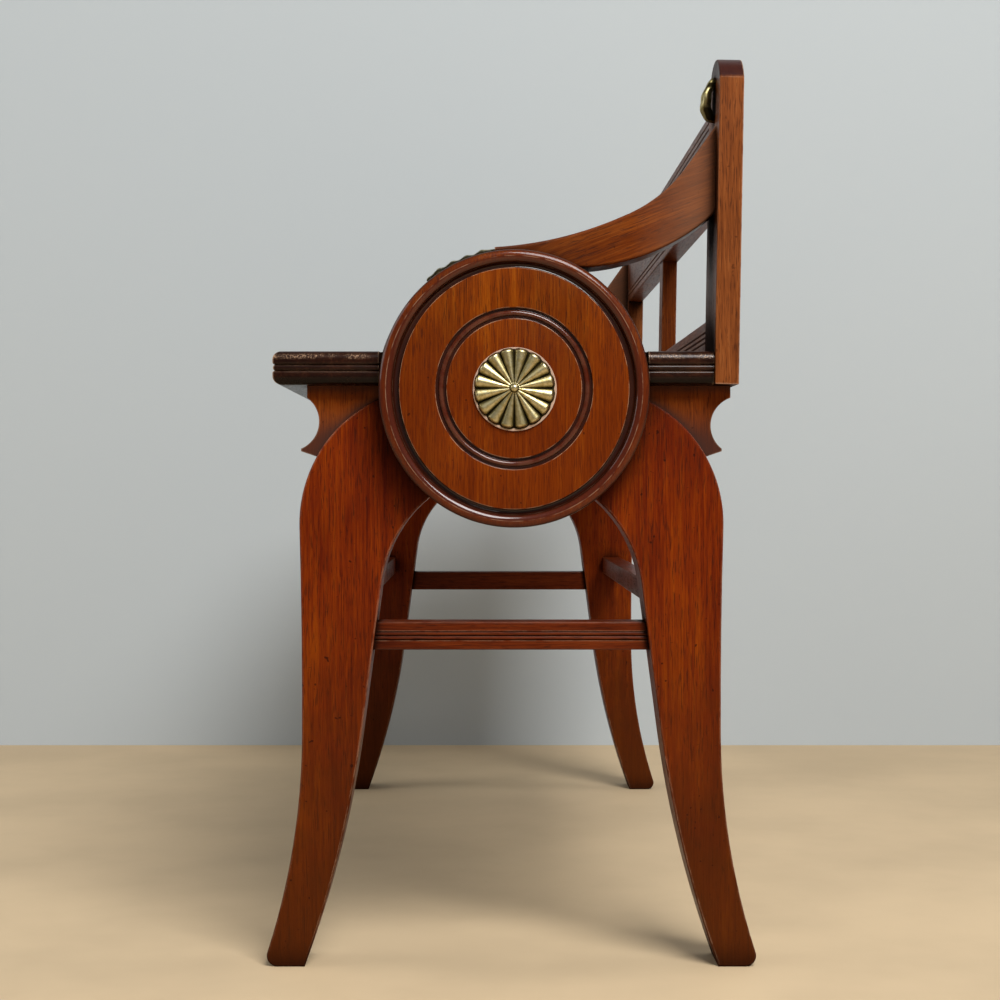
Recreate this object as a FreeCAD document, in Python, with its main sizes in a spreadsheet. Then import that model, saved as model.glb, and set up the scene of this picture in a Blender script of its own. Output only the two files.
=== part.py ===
"""A mahogany hall bench with scrolled arms, in millimetres.

X runs along the bench, Y from front to back and Z up. The origin lies on the
floor under the middle of the feet. "Right" is +X and "front" is -Y. Every size
is a cell of the sheet below, and every piece is bound to those cells.
"""
import FreeCAD, Part
import os
import re
import Sketcher

SIZES = (
    # The whole bench
    ("frame_length", 861.0),        # over the outer faces of the legs
    ("seat_height", 459.0),         # floor to the top of the seat
    ("back_rise", 221.0),           # seat top to the top of the back stiles
    ("back_lean", 1.0),             # degrees that the back leans from upright
    # The seat board and its reeded edge
    ("seat_thick", 25.0),
    ("seat_front", 177.0),          # front edge, ahead of the centre line
    ("seat_back", 149.5),           # stile fronts, behind the centre line
    ("seat_overhang", 14.0),        # seat ends beyond the legs
    ("seat_bead", 4.6),             # height of the thin bead between the reeds
    ("seat_bead_rise", 1.5),
    ("seat_edge_round", 6.4),       # top and bottom corners of the edge
    ("seat_reed_round", 1.8),       # where a reed turns in to the bead
    # The legs
    ("leg_thick", 42.0),
    ("leg_joint", 48.0),            # centre line to the joint with the end rail
    ("leg_edge_round", 1.2),
    ("shoulder_start", 55.5),       # centre line to where the shoulder leaves the seat
    ("shoulder_radius", 103.0),
    ("knee_drop", 106.0),           # seat underside to the end of the shoulder
    ("ankle_height", 173.0),
    ("ankle_reach", 156.5),         # centre line to the outer edge at the ankle
    ("toe_reach", 186.0),           # at the floor, before the toe is rounded
    ("toe_round", 8.0),
    ("heel_reach", 154.5),          # centre line to the back of the sole
    ("arch_radius", 98.0),          # round arch between the legs of an end
    ("arch_drop", 160.0),           # seat underside to the centre of the arch
    ("arch_spring", 7.5),           # degrees up the arch to where the straight shank starts
    # The corner brackets
    ("bracket_thick", 34.0),
    ("bracket_root", 88.0),
    ("front_bracket_reach", 153.0),
    ("back_bracket_reach", 164.0),
    ("bracket_lip", 9.0),
    ("scallop_radius", 22.0),
    ("beak_reach", 157.5),
    ("beak_drop", 47.0),
    ("beak_blunt", 2.0),
    ("beak_angle", 29.0),           # degrees up the shoulder to where the beak ends
    ("glue_line", 0.1),
    # The arched end rails behind the roundels
    ("end_tenon_thick", 12.0),
    ("end_tenon_height", 34.0),
    ("end_tenon_length", 24.0),
    ("end_tenon_drop", 14.0),       # seat underside to the top of the tenon
    # The side stretchers
    ("side_stretcher_thick", 26.0),
    ("side_stretcher_height", 21.0),
    ("side_stretcher_level", 236.0),
    ("side_stretcher_setback", 8.0),
    ("side_stretcher_housing", 12.0),
    ("side_bead", 3.4),
    ("side_bead_rise", 1.1),
    ("side_bead_depth", 1.2),
    # The front and back stretchers
    ("long_stretcher_thick", 20.0),
    ("long_stretcher_height", 19.0),
    ("long_stretcher_level", 256.0),
    ("long_stretcher_inset", 24.0),  # its centre, in from the outer edge at the ankle
    ("stretcher_tenon_thick", 9.0),
    ("stretcher_tenon_height", 11.0),
    ("stretcher_tenon_length", 22.0),
    # The rails under the seat
    ("seat_rail_thick", 22.0),
    ("seat_rail_height", 40.0),
    ("seat_rail_offset", 18.0),     # its centre, out from the joint of the end rail
    ("seat_tenon_thick", 10.0),
    ("seat_tenon_height", 24.0),
    ("seat_tenon_length", 12.0),
    # The back
    ("stile_width", 64.0),
    ("stile_thick", 18.0),
    ("stile_overhang", 17.0),       # outer faces beyond the legs
    ("stile_arch", 19.0),           # rise of the arched top
    ("stile_edge_round", 1.5),
    ("stile_lift", 0.5),            # seat underside to the foot of the stile
    ("rail_thick", 17.0),
    ("rail_inset", 0.5),            # rail fronts behind the stile fronts
    ("rail_edge_round", 1.2),
    ("top_rail_height", 69.0),
    ("top_rail_drop", 34.0),        # stile top to rail top
    ("bottom_rail_height", 26.5),
    ("bottom_rail_lift", 0.6),      # seat top to rail bottom
    ("rail_tenon_thick", 8.0),
    ("rail_tenon_length", 20.0),
    ("rail_tenon_shoulder", 6.0),
    ("groove_width", 2.2),
    ("groove_depth", 1.3),
    ("top_groove_margin", 6.5),     # rail edge to the nearest groove
    ("top_groove_pitch", 4.8),
    ("bottom_groove_margin", 8.5),
    ("bottom_groove_pitch", 4.0),
    ("slat_width", 28.0),
    ("slat_thick", 14.0),
    ("slat_tenon_width", 18.0),
    ("slat_tenon_thick", 7.0),
    ("slat_tenon_length", 9.0),
    # The arms and their round ends
    ("arm_thick", 36.0),
    ("drum_radius", 102.0),
    ("drum_step", 14.0),            # drum centre forward to the step in the arm's top
    ("drum_step_rise", 5.2),
    ("arm_dip_setback", 68.0),      # stile front to where the sweep steepens
    ("arm_dip_share", 0.255),       # of the sweep's rise, where it steepens
    ("arm_dip_radius", 277.0),
    ("arm_bend_setback", 20.0),
    ("arm_bend_share", 0.682),
    ("arm_bend_radius", 108.0),
    ("arm_top_drop", 51.0),         # stile top to the top of the sweep
    ("arm_under_share", 0.316),     # of the rise from the drum, where the underside meets the stile
    ("arm_under_radius", 156.0),
    ("arm_under_reach", 45.0),      # drum centre back to the underside's start
    ("arm_edge_round", 2.0),
    # The turned roundels
    ("roundel_radius", 99.5),
    ("roundel_thick", 28.0),
    ("roundel_drop", 3.5),          # seat underside to its centre
    ("roundel_shift", 1.5),         # its centre, behind the centre line
    ("roundel_fit", 0.4),           # seat notch round the roundel
    ("rim_bead_width", 8.5),
    ("rim_bead_rise", 3.0),
    ("rim_hollow_width", 4.6),
    ("rim_hollow_depth", 2.5),
    ("rim_hollow_radius", 6.0),
    ("field_rise", 1.5),            # flat field above the foot of the rim bead
    ("ring_radius", 54.0),          # middle of the sunk bead
    ("ring_bead_width", 4.0),
    ("ring_bead_rise", 1.7),
    ("ring_groove_width", 2.0),
    ("ring_groove_depth", 2.2),
    # The brass mounts
    ("rosette_radius", 31.0),
    ("rosette_plate", 1.4),
    ("rosette_petals", 16),
    ("petal_start", 4.5),
    ("petal_end", 26.0),
    ("petal_start_radius", 0.8),
    ("petal_end_radius", 4.6),
    ("petal_tip_radius", 2.6),
    ("petal_tip_length", 3.4),
    ("petal_start_rise", 5.2),
    ("rosette_ball", 3.4),
    ("rosette_ball_rise", 6.6),
    ("stud_radius", 2.2),
    ("stud_length", 9.0),
    ("arm_mount_width", 27.0),
    ("arm_mount_thick", 4.8),
    ("arm_mount_start_angle", 98.5),  # degrees round the drum
    ("arm_mount_end_angle", 128.0),
    ("boss_radius", 17.0),
    ("boss_rise", 8.0),
    ("boss_rim", 1.5),
    ("boss_drop", 30.0),            # stile top to the boss centre
    ("pin_radius", 1.0),
    ("pin_bite", 9.0),
    ("pin_inset_angle", 6.5),       # degrees in from each end of the mount
    # The fasteners and the room that they have
    ("cut_past", 1.0),              # how far a notch is cut past the faces
    ("mortise_fit", 0.2),
    ("mortise_end_room", 1.0),
    ("bore_fit", 0.1),
    ("dowel_radius", 4.0),
    ("dowel_bite", 15.0),           # into each piece
    ("arm_dowel_spread", 55.0),     # drum centre to each seat dowel
    ("arm_dowel_lift", 18.0),       # arm's underside to the dowel into the stile
    ("stile_dowel_bite", 10.0),
    ("bracket_dowel_reach", 128.0),
    ("screw_radius", 2.2),
    ("screw_head_radius", 4.4),
    ("screw_head_height", 3.0),
    ("screw_sink", 0.5),            # head below the surface
    ("screw_mouth", 2.0),           # bore above the head
    ("seat_screw_spread", 250.0),
    ("seat_screw_bite", 14.0),
    ("roundel_screw_spread", 38.0),  # roundel centre to each screw
    ("roundel_screw_bite", 13.0),
    ("stile_screw_spread", 15.0),
    ("stile_screw_bite", 26.0),
    ("glue_block_length", 40.0),
    ("glue_block_width", 18.0),
    ("glue_block_spread", 180.0),
)
NAMES = re.compile(r"\b(" + "|".join(name for name, _ in SIZES) + r")\b")

# Places that several pieces share, as formulas of the sheet
UNDER = "(seat_height - seat_thick)"
END = "(frame_length / 2)"
ARCH_Z = f"({UNDER} - arch_drop)"
ARCH_JOINT_Z = f"({ARCH_Z} + sqrt(arch_radius ^ 2 - leg_joint ^ 2))"
SHANK_Y = "(arch_radius * cos(arch_spring))"
SHANK_Z = f"({ARCH_Z} + arch_radius * sin(arch_spring))"
INNER_ANKLE_Y = f"({SHANK_Y} + ({SHANK_Z} - ankle_height) * tan(arch_spring))"
SHOULDER_Z = f"({UNDER} - shoulder_radius)"
DRUM_Y = "roundel_shift"
DRUM_Z = f"({UNDER} - roundel_drop)"
STILE_X = f"({END} + stile_overhang - stile_width / 2)"
BACK_SPAN = "(frame_length + 2 * stile_overhang - 2 * stile_width)"
LEG_SPAN = "(frame_length - 2 * leg_thick)"
LEG_X = f"({END} - leg_thick / 2)"
ARM_X = f"({END} - arm_thick / 2)"
STILE_TOP = "(seat_thick + back_rise)"
DRUM_TOP = f"({DRUM_Z} + drum_radius)"
ARM_STEP_Z = f"({DRUM_TOP} + drum_step_rise)"
ARM_TOP_Z = "(seat_height + back_rise - arm_top_drop)"
ARM_DIP_Z = f"({ARM_STEP_Z} + arm_dip_share * ({ARM_TOP_Z} - {ARM_STEP_Z}))"
ARM_BEND_Z = f"({ARM_STEP_Z} + arm_bend_share * ({ARM_TOP_Z} - {ARM_STEP_Z}))"
ARM_UNDER_Z = f"({DRUM_TOP} + arm_under_share * ({ARM_TOP_Z} - {DRUM_TOP}))"
ARM_DOWEL_Z = f"({ARM_UNDER_Z} + arm_dowel_lift)"

ENDS = (("left", -1), ("right", 1))
SIDES = (("front", -1), ("back", 1))
ALONG_X = FreeCAD.Rotation(FreeCAD.Vector(0, 1, 0), 90)
AGAINST_X = FreeCAD.Rotation(FreeCAD.Vector(0, 1, 0), -90)
ALONG_Y = FreeCAD.Rotation(FreeCAD.Vector(1, 0, 0), -90)
AGAINST_Y = FreeCAD.Rotation(FreeCAD.Vector(1, 0, 0), 90)
HALF_TURN = FreeCAD.Rotation(FreeCAD.Vector(0, 0, 1), 180)
UPRIGHT = FreeCAD.Rotation()
FACING = {1: UPRIGHT, -1: HALF_TURN}
NEAR = 0.01        # edges this close to a face lie in it
JOINT_SLOPE = 0.05  # straight edges flatter than this to an axis are joints

doc = FreeCAD.newDocument("HallBench")
sheet = doc.addObject("Spreadsheet::Sheet", "Sizes")
for row, (name, number) in enumerate(SIZES, start=1):
    sheet.set(f"A{row}", name)
    sheet.set(f"B{row}", str(number))
    sheet.setAlias(f"B{row}", name)
doc.recompute()
pieces = []


# Helpers that bind geometry to the sheet

def formula(text):
    """The text with each size written as a reference to its cell."""
    return NAMES.sub(r"Sizes.\1", str(text))


def value(text):
    """What a formula comes to now."""
    return float(sheet.evalExpression(formula(text)))


def bind(item, **properties):
    """Ties properties of an object to formulas."""
    for name, text in properties.items():
        item.setExpression(name, formula(text))
    return item


def place(item, x=0, y=0, z=0, rotation=UPRIGHT):
    """Sets an object's rotation and ties its position to formulas."""
    item.Placement = FreeCAD.Placement(FreeCAD.Vector(), rotation)
    for axis, text in zip("xyz", (x, y, z)):
        item.setExpression(f"Placement.Base.{axis}", formula(text))
    return item


def lean(item):
    """Moves an object from the back's own frame to its leaning place behind the seat."""
    backwards = FreeCAD.Rotation(FreeCAD.Vector(-1, 0, 0), value("back_lean"))
    place(item, 0, "seat_back", UNDER, backwards)
    item.setExpression("Placement.Rotation.Angle", formula("back_lean * 1 deg"))
    return item


def piece(item, label):
    """Names an object as one of the bench's pieces."""
    item.Label = label
    pieces.append(item)
    return item


def run_between(start, end, radius):
    """A straight edge where the radius is 0, or else the shorter arc, which turns right below 0."""
    if not radius:
        return Part.LineSegment(start, end)
    chord = end - start
    side = FreeCAD.Vector(-chord.y, chord.x, 0).normalize()
    rise = (radius ** 2 - (chord.Length / 2) ** 2) ** 0.5
    centre = (start + end) / 2 + side * (rise if radius > 0 else -rise)
    circle = Part.Circle(centre, FreeCAD.Vector(0, 0, 1), abs(radius))
    first, last = (start, end) if radius > 0 else (end, start)
    return Part.ArcOfCircle(circle, circle.parameter(first), circle.parameter(last))


def outline(body, plane, corners, flip=1, name="Outline"):
    """A closed, fully constrained sketch on one of the body's origin planes.

    Each corner is (u, v) for a straight run from the corner before it, or
    (u, v, radius) for an arc, which turns right where the radius is below 0.
    A flip of -1 mirrors u.
    """
    sketch = body.newObject("Sketcher::SketchObject", name)
    support = next(item for item in body.Origin.OriginFeatures if item.Role == plane)
    sketch.AttachmentSupport = (support, [""])
    sketch.MapMode = "FlatFace"
    spots = [FreeCAD.Vector(flip * value(corner[0]), value(corner[1]), 0) for corner in corners]
    ends = []
    for index, corner in enumerate(corners):
        radius = flip * value(corner[2]) if len(corner) > 2 else 0
        run = sketch.addGeometry(run_between(spots[index - 1], spots[index], radius))
        ends.append((run, 1, 2) if radius >= 0 else (run, 2, 1))
        if radius:
            held = sketch.addConstraint(Sketcher.Constraint("Radius", run, abs(radius)))
            sketch.setExpression(f"Constraints[{held}]", formula(f"abs({corner[2]})"))
    for index, corner in enumerate(corners):
        run, _, last = ends[index]
        following, first, _ = ends[(index + 1) % len(corners)]
        sketch.addConstraint(Sketcher.Constraint("Coincident", run, last, following, first))
        spot = spots[index]
        across = sketch.addConstraint(Sketcher.Constraint("DistanceX", -1, 1, run, last, spot.x))
        sketch.setExpression(f"Constraints[{across}]", formula(f"{flip} * ({corner[0]})"))
        up = sketch.addConstraint(Sketcher.Constraint("DistanceY", -1, 1, run, last, spot.y))
        sketch.setExpression(f"Constraints[{up}]", formula(corner[1]))
    return sketch


def mirrored(corners):
    """The same run of corners on the other side of the axis, walked the other way."""
    radii = [corner[2:] for corner in corners[1:]] + [()]
    return [(f"-({corner[0]})", corner[1]) + radius for corner, radius in zip(corners, radii)][::-1]


def new_body(name):
    return doc.addObject("PartDesign::Body", name)


def pad(body, sketch, length, reverse=False, centred=True):
    """Thickens a sketch, evenly to both sides of its plane unless told otherwise."""
    feature = body.newObject("PartDesign::Pad", "Pad")
    feature.Profile = sketch
    feature.SideType = "Symmetric" if centred else "One side"
    feature.Reversed = reverse
    return bind(feature, Length=length)


def turned(body, sketch, axis):
    """Spins a sketch once round its own horizontal or vertical axis."""
    feature = body.newObject("PartDesign::Revolution", "Turning")
    feature.Profile = sketch
    feature.ReferenceAxis = (sketch, [axis])
    feature.Angle = 360
    return feature


def round_edges(body, feature, radius, chosen):
    """Rounds the feature's edges that the test picks."""
    feature.recompute(True)
    box = feature.Shape.BoundBox
    picked = [number for number, edge in enumerate(feature.Shape.Edges, start=1) if chosen(edge, box)]
    fillet = body.newObject("PartDesign::Fillet", "Rounding")
    fillet.Base = (feature, [f"Edge{number}" for number in picked])
    return bind(fillet, Radius=radius)


def spans(edge):
    box = edge.BoundBox
    return {"X": box.XLength, "Y": box.YLength, "Z": box.ZLength}


def sawn_edges(axis):
    """A test for the edges round the faces of a sawn board, without the straight joints."""
    def chosen(edge, box):
        if spans(edge)[axis] > NEAR:
            return False
        low, high = sorted(length for name, length in spans(edge).items() if name != axis)
        return not (isinstance(edge.Curve, Part.Line) and low < JOINT_SLOPE * high)
    return chosen


def toe_edge(edge, box):
    """A test for the edge of a leg that is lowest and furthest from the centre line."""
    across = max(abs(box.YMin), abs(box.YMax))
    return edge.BoundBox.ZMax < NEAR and abs(edge.BoundBox.Center.y) > across - NEAR


def front_edges(edge, box):
    """A test for the edges round the front face of the back's pieces."""
    return edge.BoundBox.YMax < box.YMin + NEAR


def corner_edges(axis):
    """A test for the long edges at the four corners of a bar along an axis."""
    def chosen(edge, box):
        if any(length > NEAR for name, length in spans(edge).items() if name != axis):
            return False
        middle = edge.BoundBox.Center
        for name in "XYZ".replace(axis, ""):
            at = getattr(middle, name.lower())
            if min(abs(at - getattr(box, name + limit)) for limit in ("Min", "Max")) > NEAR:
                return False
        return True
    return chosen


def rectangle(left, bottom, right, top):
    return [(left, bottom), (right, bottom), (right, top), (left, top)]


def block(x, y, z, length, width, height):
    """A box tied to formulas for the middle of its bottom face and for its three sizes."""
    box = bind(doc.addObject("Part::Box", "Block"), Length=length, Width=width, Height=height)
    return place(box, f"{x} - ({length}) / 2", f"{y} - ({width}) / 2", z)


def rod(radius, length, x, y, z, rotation=UPRIGHT):
    """A cylinder that starts at a point and runs along its turned Z axis."""
    cylinder = bind(doc.addObject("Part::Cylinder", "Rod"), Radius=radius, Height=length)
    return place(cylinder, x, y, z, rotation)


def group(items):
    compound = doc.addObject("Part::Compound", "Group")
    compound.Links = items
    return compound


def cut(base, tools):
    """The base less all of the tools."""
    feature = doc.addObject("Part::Cut", "Cut")
    feature.Base = base
    feature.Tool = group(tools) if len(tools) > 1 else tools[0]
    return feature


# Fasteners: each place is listed once, and serves for the fastener and for its bore

def dowel_places():
    """The start, direction and length of every dowel."""
    both = "2 * dowel_bite"
    for _, end in ENDS:
        x = f"{end} * {ARM_X}"
        for spread in (-1, 1):
            yield (x, f"{DRUM_Y} + {spread} * arm_dowel_spread", "seat_height - dowel_bite",
                   UPRIGHT, both)
        yield (x, f"{stile_front(ARM_DOWEL_Z)} - dowel_bite", ARM_DOWEL_Z,
               ALONG_Y, "dowel_bite + stile_dowel_bite")
        for _, side in SIDES:
            yield (f"{end} * {LEG_X}", f"{side} * bracket_dowel_reach", f"{UNDER} - dowel_bite",
                   UPRIGHT, both)


def dowels(growth=0):
    return [
        rod(f"dowel_radius + {growth}", f"{length} + 2 * {growth}", x, y, z, rotation)
        for x, y, z, rotation, length in dowel_places()]


def screw(x, y, z, rotation, length, growth):
    """A countersunk screw with its head just under the surface; growth makes it its own bore."""
    shank = bind(doc.addObject("Part::Cylinder", "Shank"), Radius=f"screw_radius + {growth}",
                 Height=f"{length} + {growth}")
    head = bind(doc.addObject("Part::Cone", "Head"), Radius1=f"screw_head_radius + {growth}",
                Radius2=f"screw_radius + {growth}", Height="screw_head_height")
    place(head, 0, 0, "screw_sink")
    place(shank, 0, 0, "screw_sink")
    shapes = [shank, head]
    if growth:
        mouth = rod(f"screw_head_radius + {growth}", "screw_sink + screw_mouth", 0, 0, "-screw_mouth")
        shapes.append(mouth)
    whole = doc.addObject("Part::MultiFuse", "Screw")
    whole.Shapes = shapes
    return place(whole, x, y, z, rotation)


def seat_screw_places():
    for _, side in SIDES:
        for step in (-1, 0, 1):
            yield (f"{step} * seat_screw_spread", f"{side} * (leg_joint + seat_rail_offset)",
                   f"{UNDER} - seat_rail_height", UPRIGHT, "seat_rail_height + seat_screw_bite")


def roundel_screw_places():
    for _, end in ENDS:
        rotation = ALONG_X if end > 0 else AGAINST_X
        for step, host in ((1, "arm_thick"), (-1, "leg_thick")):
            yield (f"{end} * ({END} - {host})", DRUM_Y, f"{DRUM_Z} + {step} * roundel_screw_spread",
                   rotation, f"{host} + roundel_screw_bite")


def stile_screw_places():
    for _, end in ENDS:
        for step in (-1, 1):
            yield (f"{end} * {STILE_X} + {step} * stile_screw_spread", "seat_back + stile_thick",
                   f"{UNDER} + seat_thick / 2", AGAINST_Y, "stile_thick + stile_screw_bite")


def screws(places, growth=0):
    return [screw(*spot, growth) for spot in places]


def pin_rods(end, growth=0):
    """The two pins of one arm mount, square to the drum's rim."""
    rods = []
    for angle in ("(arm_mount_start_angle + pin_inset_angle)", "(arm_mount_end_angle - pin_inset_angle)"):
        rotation = FreeCAD.Rotation(FreeCAD.Vector(1, 0, 0), value(angle) - 90)
        start = "(drum_radius - pin_bite)"
        y, z = f"{DRUM_Y} + {start} * cos({angle})", f"{DRUM_Z} + {start} * sin({angle})"
        length = f"pin_bite + arm_mount_thick + {growth}"
        pin = rod(f"pin_radius + {growth}", length, f"{end} * {ARM_X}", y, z, rotation)
        pin.setExpression("Placement.Rotation.Angle", formula(f"({angle} - 90) * 1 deg"))
        rods.append(pin)
    return rods


# The seat board

def bead_arc(width, rise):
    """The radius of a bead with a width and a rise."""
    return f"((({width}) ^ 2 / 4 + ({rise}) ^ 2) / (2 * ({rise})))"


def edge_profile(reach):
    """Corners down a reeded edge: a reed, a thin bead and a reed, from the top face to the bottom."""
    top, bottom = "seat_height", UNDER
    sink, reed = "seat_reed_round", "((seat_thick - seat_bead) / 2)"
    return [
        (f"{reach} - seat_edge_round", top),
        (reach, f"{top} - seat_edge_round", "-seat_edge_round"),
        (reach, f"{top} - {reed} + {sink}"),
        (f"{reach} - {sink}", f"{top} - {reed}", f"-{sink}"),
        (f"{reach} - {sink}", f"{bottom} + {reed}", "-" + bead_arc("seat_bead", "seat_bead_rise")),
        (reach, f"{bottom} + {reed} - {sink}", f"-{sink}"),
        (reach, f"{bottom} + seat_edge_round"),
        (f"{reach} - seat_edge_round", bottom, "-seat_edge_round"),
    ]


def seat_board(bores):
    """The reeded profile runs along the front and both ends, and meets in mitres at the corners."""
    back = "(seat_back + stile_thick)"
    length = f"({END} + seat_overhang)"
    lengthwise = new_body("SeatLengthwise")
    corners = [(f"-{back}", UNDER), (f"-{back}", "seat_height")] + edge_profile("seat_front")
    pad(lengthwise, outline(lengthwise, "YZ_Plane", corners, flip=-1), f"2 * {length}")
    crosswise = new_body("SeatCrosswise")
    corners = edge_profile(length) + mirrored(edge_profile(length))
    pad(crosswise, outline(crosswise, "XZ_Plane", corners), f"2 * ({back} + seat_front)")
    board = doc.addObject("Part::MultiCommon", "SeatBlank")
    board.Shapes = [lengthwise, crosswise]
    roundel_notches = [
        block(f"{end} * {length}", DRUM_Y, f"{UNDER} - cut_past", "2 * seat_overhang",
              "2 * (roundel_radius + roundel_fit)", "seat_thick + 2 * cut_past")
        for _, end in ENDS]
    stile_notches = [
        block(f"{end} * ({STILE_X} + stile_width / 2 - mortise_fit)", "stile_thick", "-stile_thick",
              "2 * stile_width", "2 * stile_thick", "seat_thick + 2 * stile_thick")
        for _, end in ENDS]
    notched = cut(cut(board, roundel_notches), [lean(group(stile_notches))])
    piece(cut(notched, bores), "seat_board")


# The legs, their brackets and the rails between them

def bend(across, down, start_slope):
    """The radius of the arc that leaves at a slope from the vertical and ends across and down."""
    half_chord, turn = f"sqrt(({across}) ^ 2 + ({down}) ^ 2) / 2", f"atan(({across}) / ({down}))"
    return f"({half_chord} / sin({turn} - ({start_slope})))"


def leg_corners():
    """One leg seen from the end, from the joint at its top, down the outer edge and up the inner one.

    The outer edge is three arcs and the inner one an arc, a straight and the
    arch, each in line with the next where they meet.
    """
    knee_sink = "(knee_drop - shoulder_radius)"
    knee_y = f"(shoulder_start + sqrt(shoulder_radius ^ 2 - {knee_sink} ^ 2))"
    knee_slope = f"(-asin({knee_sink} / shoulder_radius))"
    shank_across, shank_down = f"(ankle_reach - {knee_y})", f"({UNDER} - knee_drop - ankle_height)"
    ankle_slope = f"(2 * atan({shank_across} / {shank_down}) - {knee_slope})"
    inner_bend = bend(f"heel_reach - {INNER_ANKLE_Y}", "ankle_height", "arch_spring * 1 deg")
    return [
        ("leg_joint", UNDER),
        ("shoulder_start", UNDER),
        (knee_y, f"{UNDER} - knee_drop", "-shoulder_radius"),
        ("ankle_reach", "ankle_height", bend(shank_across, shank_down, knee_slope)),
        ("toe_reach", "0", bend("toe_reach - ankle_reach", "ankle_height", ankle_slope)),
        ("heel_reach", "0"),
        (INNER_ANKLE_Y, "ankle_height", "-" + inner_bend),
        (SHANK_Y, SHANK_Z),
        ("leg_joint", ARCH_JOINT_Z, "arch_radius"),
    ]


def side_stretcher_reach():
    """Half the length of a side stretcher: out to the leg's inner edge, and on into its housing."""
    middle = "(side_stretcher_level + side_stretcher_height / 2)"
    return f"({SHANK_Y} + ({SHANK_Z} - {middle}) * tan(arch_spring) + side_stretcher_housing)"


def leg(end_name, end, side_name, side):
    """A sawn leg with mortises for the end rail, the seat rail and both stretchers."""
    body = new_body("LegBlank")
    blank = pad(body, outline(body, "YZ_Plane", leg_corners()), "leg_thick")
    rounded_toe = round_edges(body, blank, "toe_round", toe_edge)
    round_edges(body, rounded_toe, "leg_edge_round", sawn_edges("X"))
    place(body, f"{end} * {LEG_X}", rotation=FACING[side])
    room, fit = "mortise_end_room", "2 * mortise_fit"
    end_rail = block(f"{end} * {LEG_X}", f"{side} * leg_joint",
                     f"{UNDER} - end_tenon_drop - end_tenon_height - mortise_fit",
                     f"end_tenon_thick + {fit}", f"2 * (end_tenon_length + {room})",
                     f"end_tenon_height + {fit}")
    inner = f"{end} * {LEG_SPAN} / 2"
    seat_rail = block(inner, f"{side} * (leg_joint + seat_rail_offset)",
                      f"{UNDER} - (seat_rail_height + seat_tenon_height) / 2 - mortise_fit",
                      f"2 * (seat_tenon_length + {room})", f"seat_tenon_thick + {fit}",
                      f"seat_tenon_height + {fit}")
    tenon_lift = "(long_stretcher_height - stretcher_tenon_height) / 2"
    long_bar = block(inner, f"{side} * (ankle_reach - long_stretcher_inset)",
                     f"long_stretcher_level + {tenon_lift} - mortise_fit",
                     f"2 * (stretcher_tenon_length + {room})", f"stretcher_tenon_thick + {fit}",
                     f"stretcher_tenon_height + {fit}")
    side_bar = block(f"{end} * ({END} - side_stretcher_setback - side_stretcher_thick / 2)", "0",
                     "side_stretcher_level - mortise_fit", f"side_stretcher_thick + {fit}",
                     f"2 * ({side_stretcher_reach()} + mortise_fit)", f"side_stretcher_height + {fit}")
    piece(cut(body, [end_rail, seat_rail, long_bar, side_bar]), f"leg_{side_name}_{end_name}")


def bracket(end_name, end, side_name, side, bores):
    """A scalloped bracket that fills the corner between a leg's shoulder and the seat."""
    radius = "(shoulder_radius + glue_line)"
    root_z = f"{SHOULDER_Z} + sqrt({radius} ^ 2 - (bracket_root - shoulder_start) ^ 2)"
    reach = f"{side_name}_bracket_reach"
    corners = [
        ("bracket_root", UNDER),
        (reach, UNDER),
        (reach, f"{UNDER} - bracket_lip"),
        ("beak_reach", f"{UNDER} - beak_drop", "scallop_radius"),
        ("beak_reach", f"{UNDER} - beak_drop - beak_blunt"),
        (f"shoulder_start + {radius} * cos(beak_angle)", f"{SHOULDER_Z} + {radius} * sin(beak_angle)"),
        ("bracket_root", root_z, radius),
    ]
    body = new_body("BracketBlank")
    pad(body, outline(body, "YZ_Plane", corners), "bracket_thick")
    place(body, f"{end} * {LEG_X}", rotation=FACING[side])
    piece(cut(body, bores), f"bracket_{side_name}_{end_name}")


def end_rail(end_name, end, bores):
    """The arched rail behind a roundel, tenoned into both legs of its end."""
    body = new_body("EndRailBlank")
    corners = [
        ("-leg_joint", UNDER),
        ("leg_joint", UNDER),
        ("leg_joint", ARCH_JOINT_Z),
        ("-leg_joint", ARCH_JOINT_Z, "arch_radius"),
    ]
    pad(body, outline(body, "YZ_Plane", corners), "leg_thick")
    reach = "leg_joint + end_tenon_length"
    top = f"{UNDER} - end_tenon_drop"
    tenon = rectangle(f"-({reach})", f"{top} - end_tenon_height", reach, top)
    pad(body, outline(body, "YZ_Plane", tenon, name="Tenon"), "end_tenon_thick")
    place(body, f"{end} * {LEG_X}")
    piece(cut(body, bores), f"end_rail_{end_name}")


def side_stretcher(end_name, end):
    """A bar housed in both legs of an end, with two beads sunk in its outer face."""
    outer, sunk = "side_stretcher_thick / 2", "side_stretcher_thick / 2 - side_bead_depth"
    middle, top = "side_stretcher_height / 2", "side_stretcher_height"
    bead = ("-" + bead_arc("side_bead", "side_bead_rise"),)
    corners = [
        (f"-{outer}", "0"),
        (f"-{outer}", top),
        (outer, top),
        (outer, f"{middle} + side_bead"),
        (sunk, f"{middle} + side_bead"),
        (sunk, middle) + bead,
        (sunk, f"{middle} - side_bead") + bead,
        (outer, f"{middle} - side_bead"),
        (outer, "0"),
    ]
    body = new_body("SideStretcher")
    bar = pad(body, outline(body, "XZ_Plane", corners, flip=end), f"2 * {side_stretcher_reach()}")
    round_edges(body, bar, "rail_edge_round", corner_edges("Y"))
    x = f"{end} * ({END} - side_stretcher_setback - side_stretcher_thick / 2)"
    place(body, x, 0, "side_stretcher_level")
    piece(body, f"side_stretcher_{end_name}")


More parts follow.
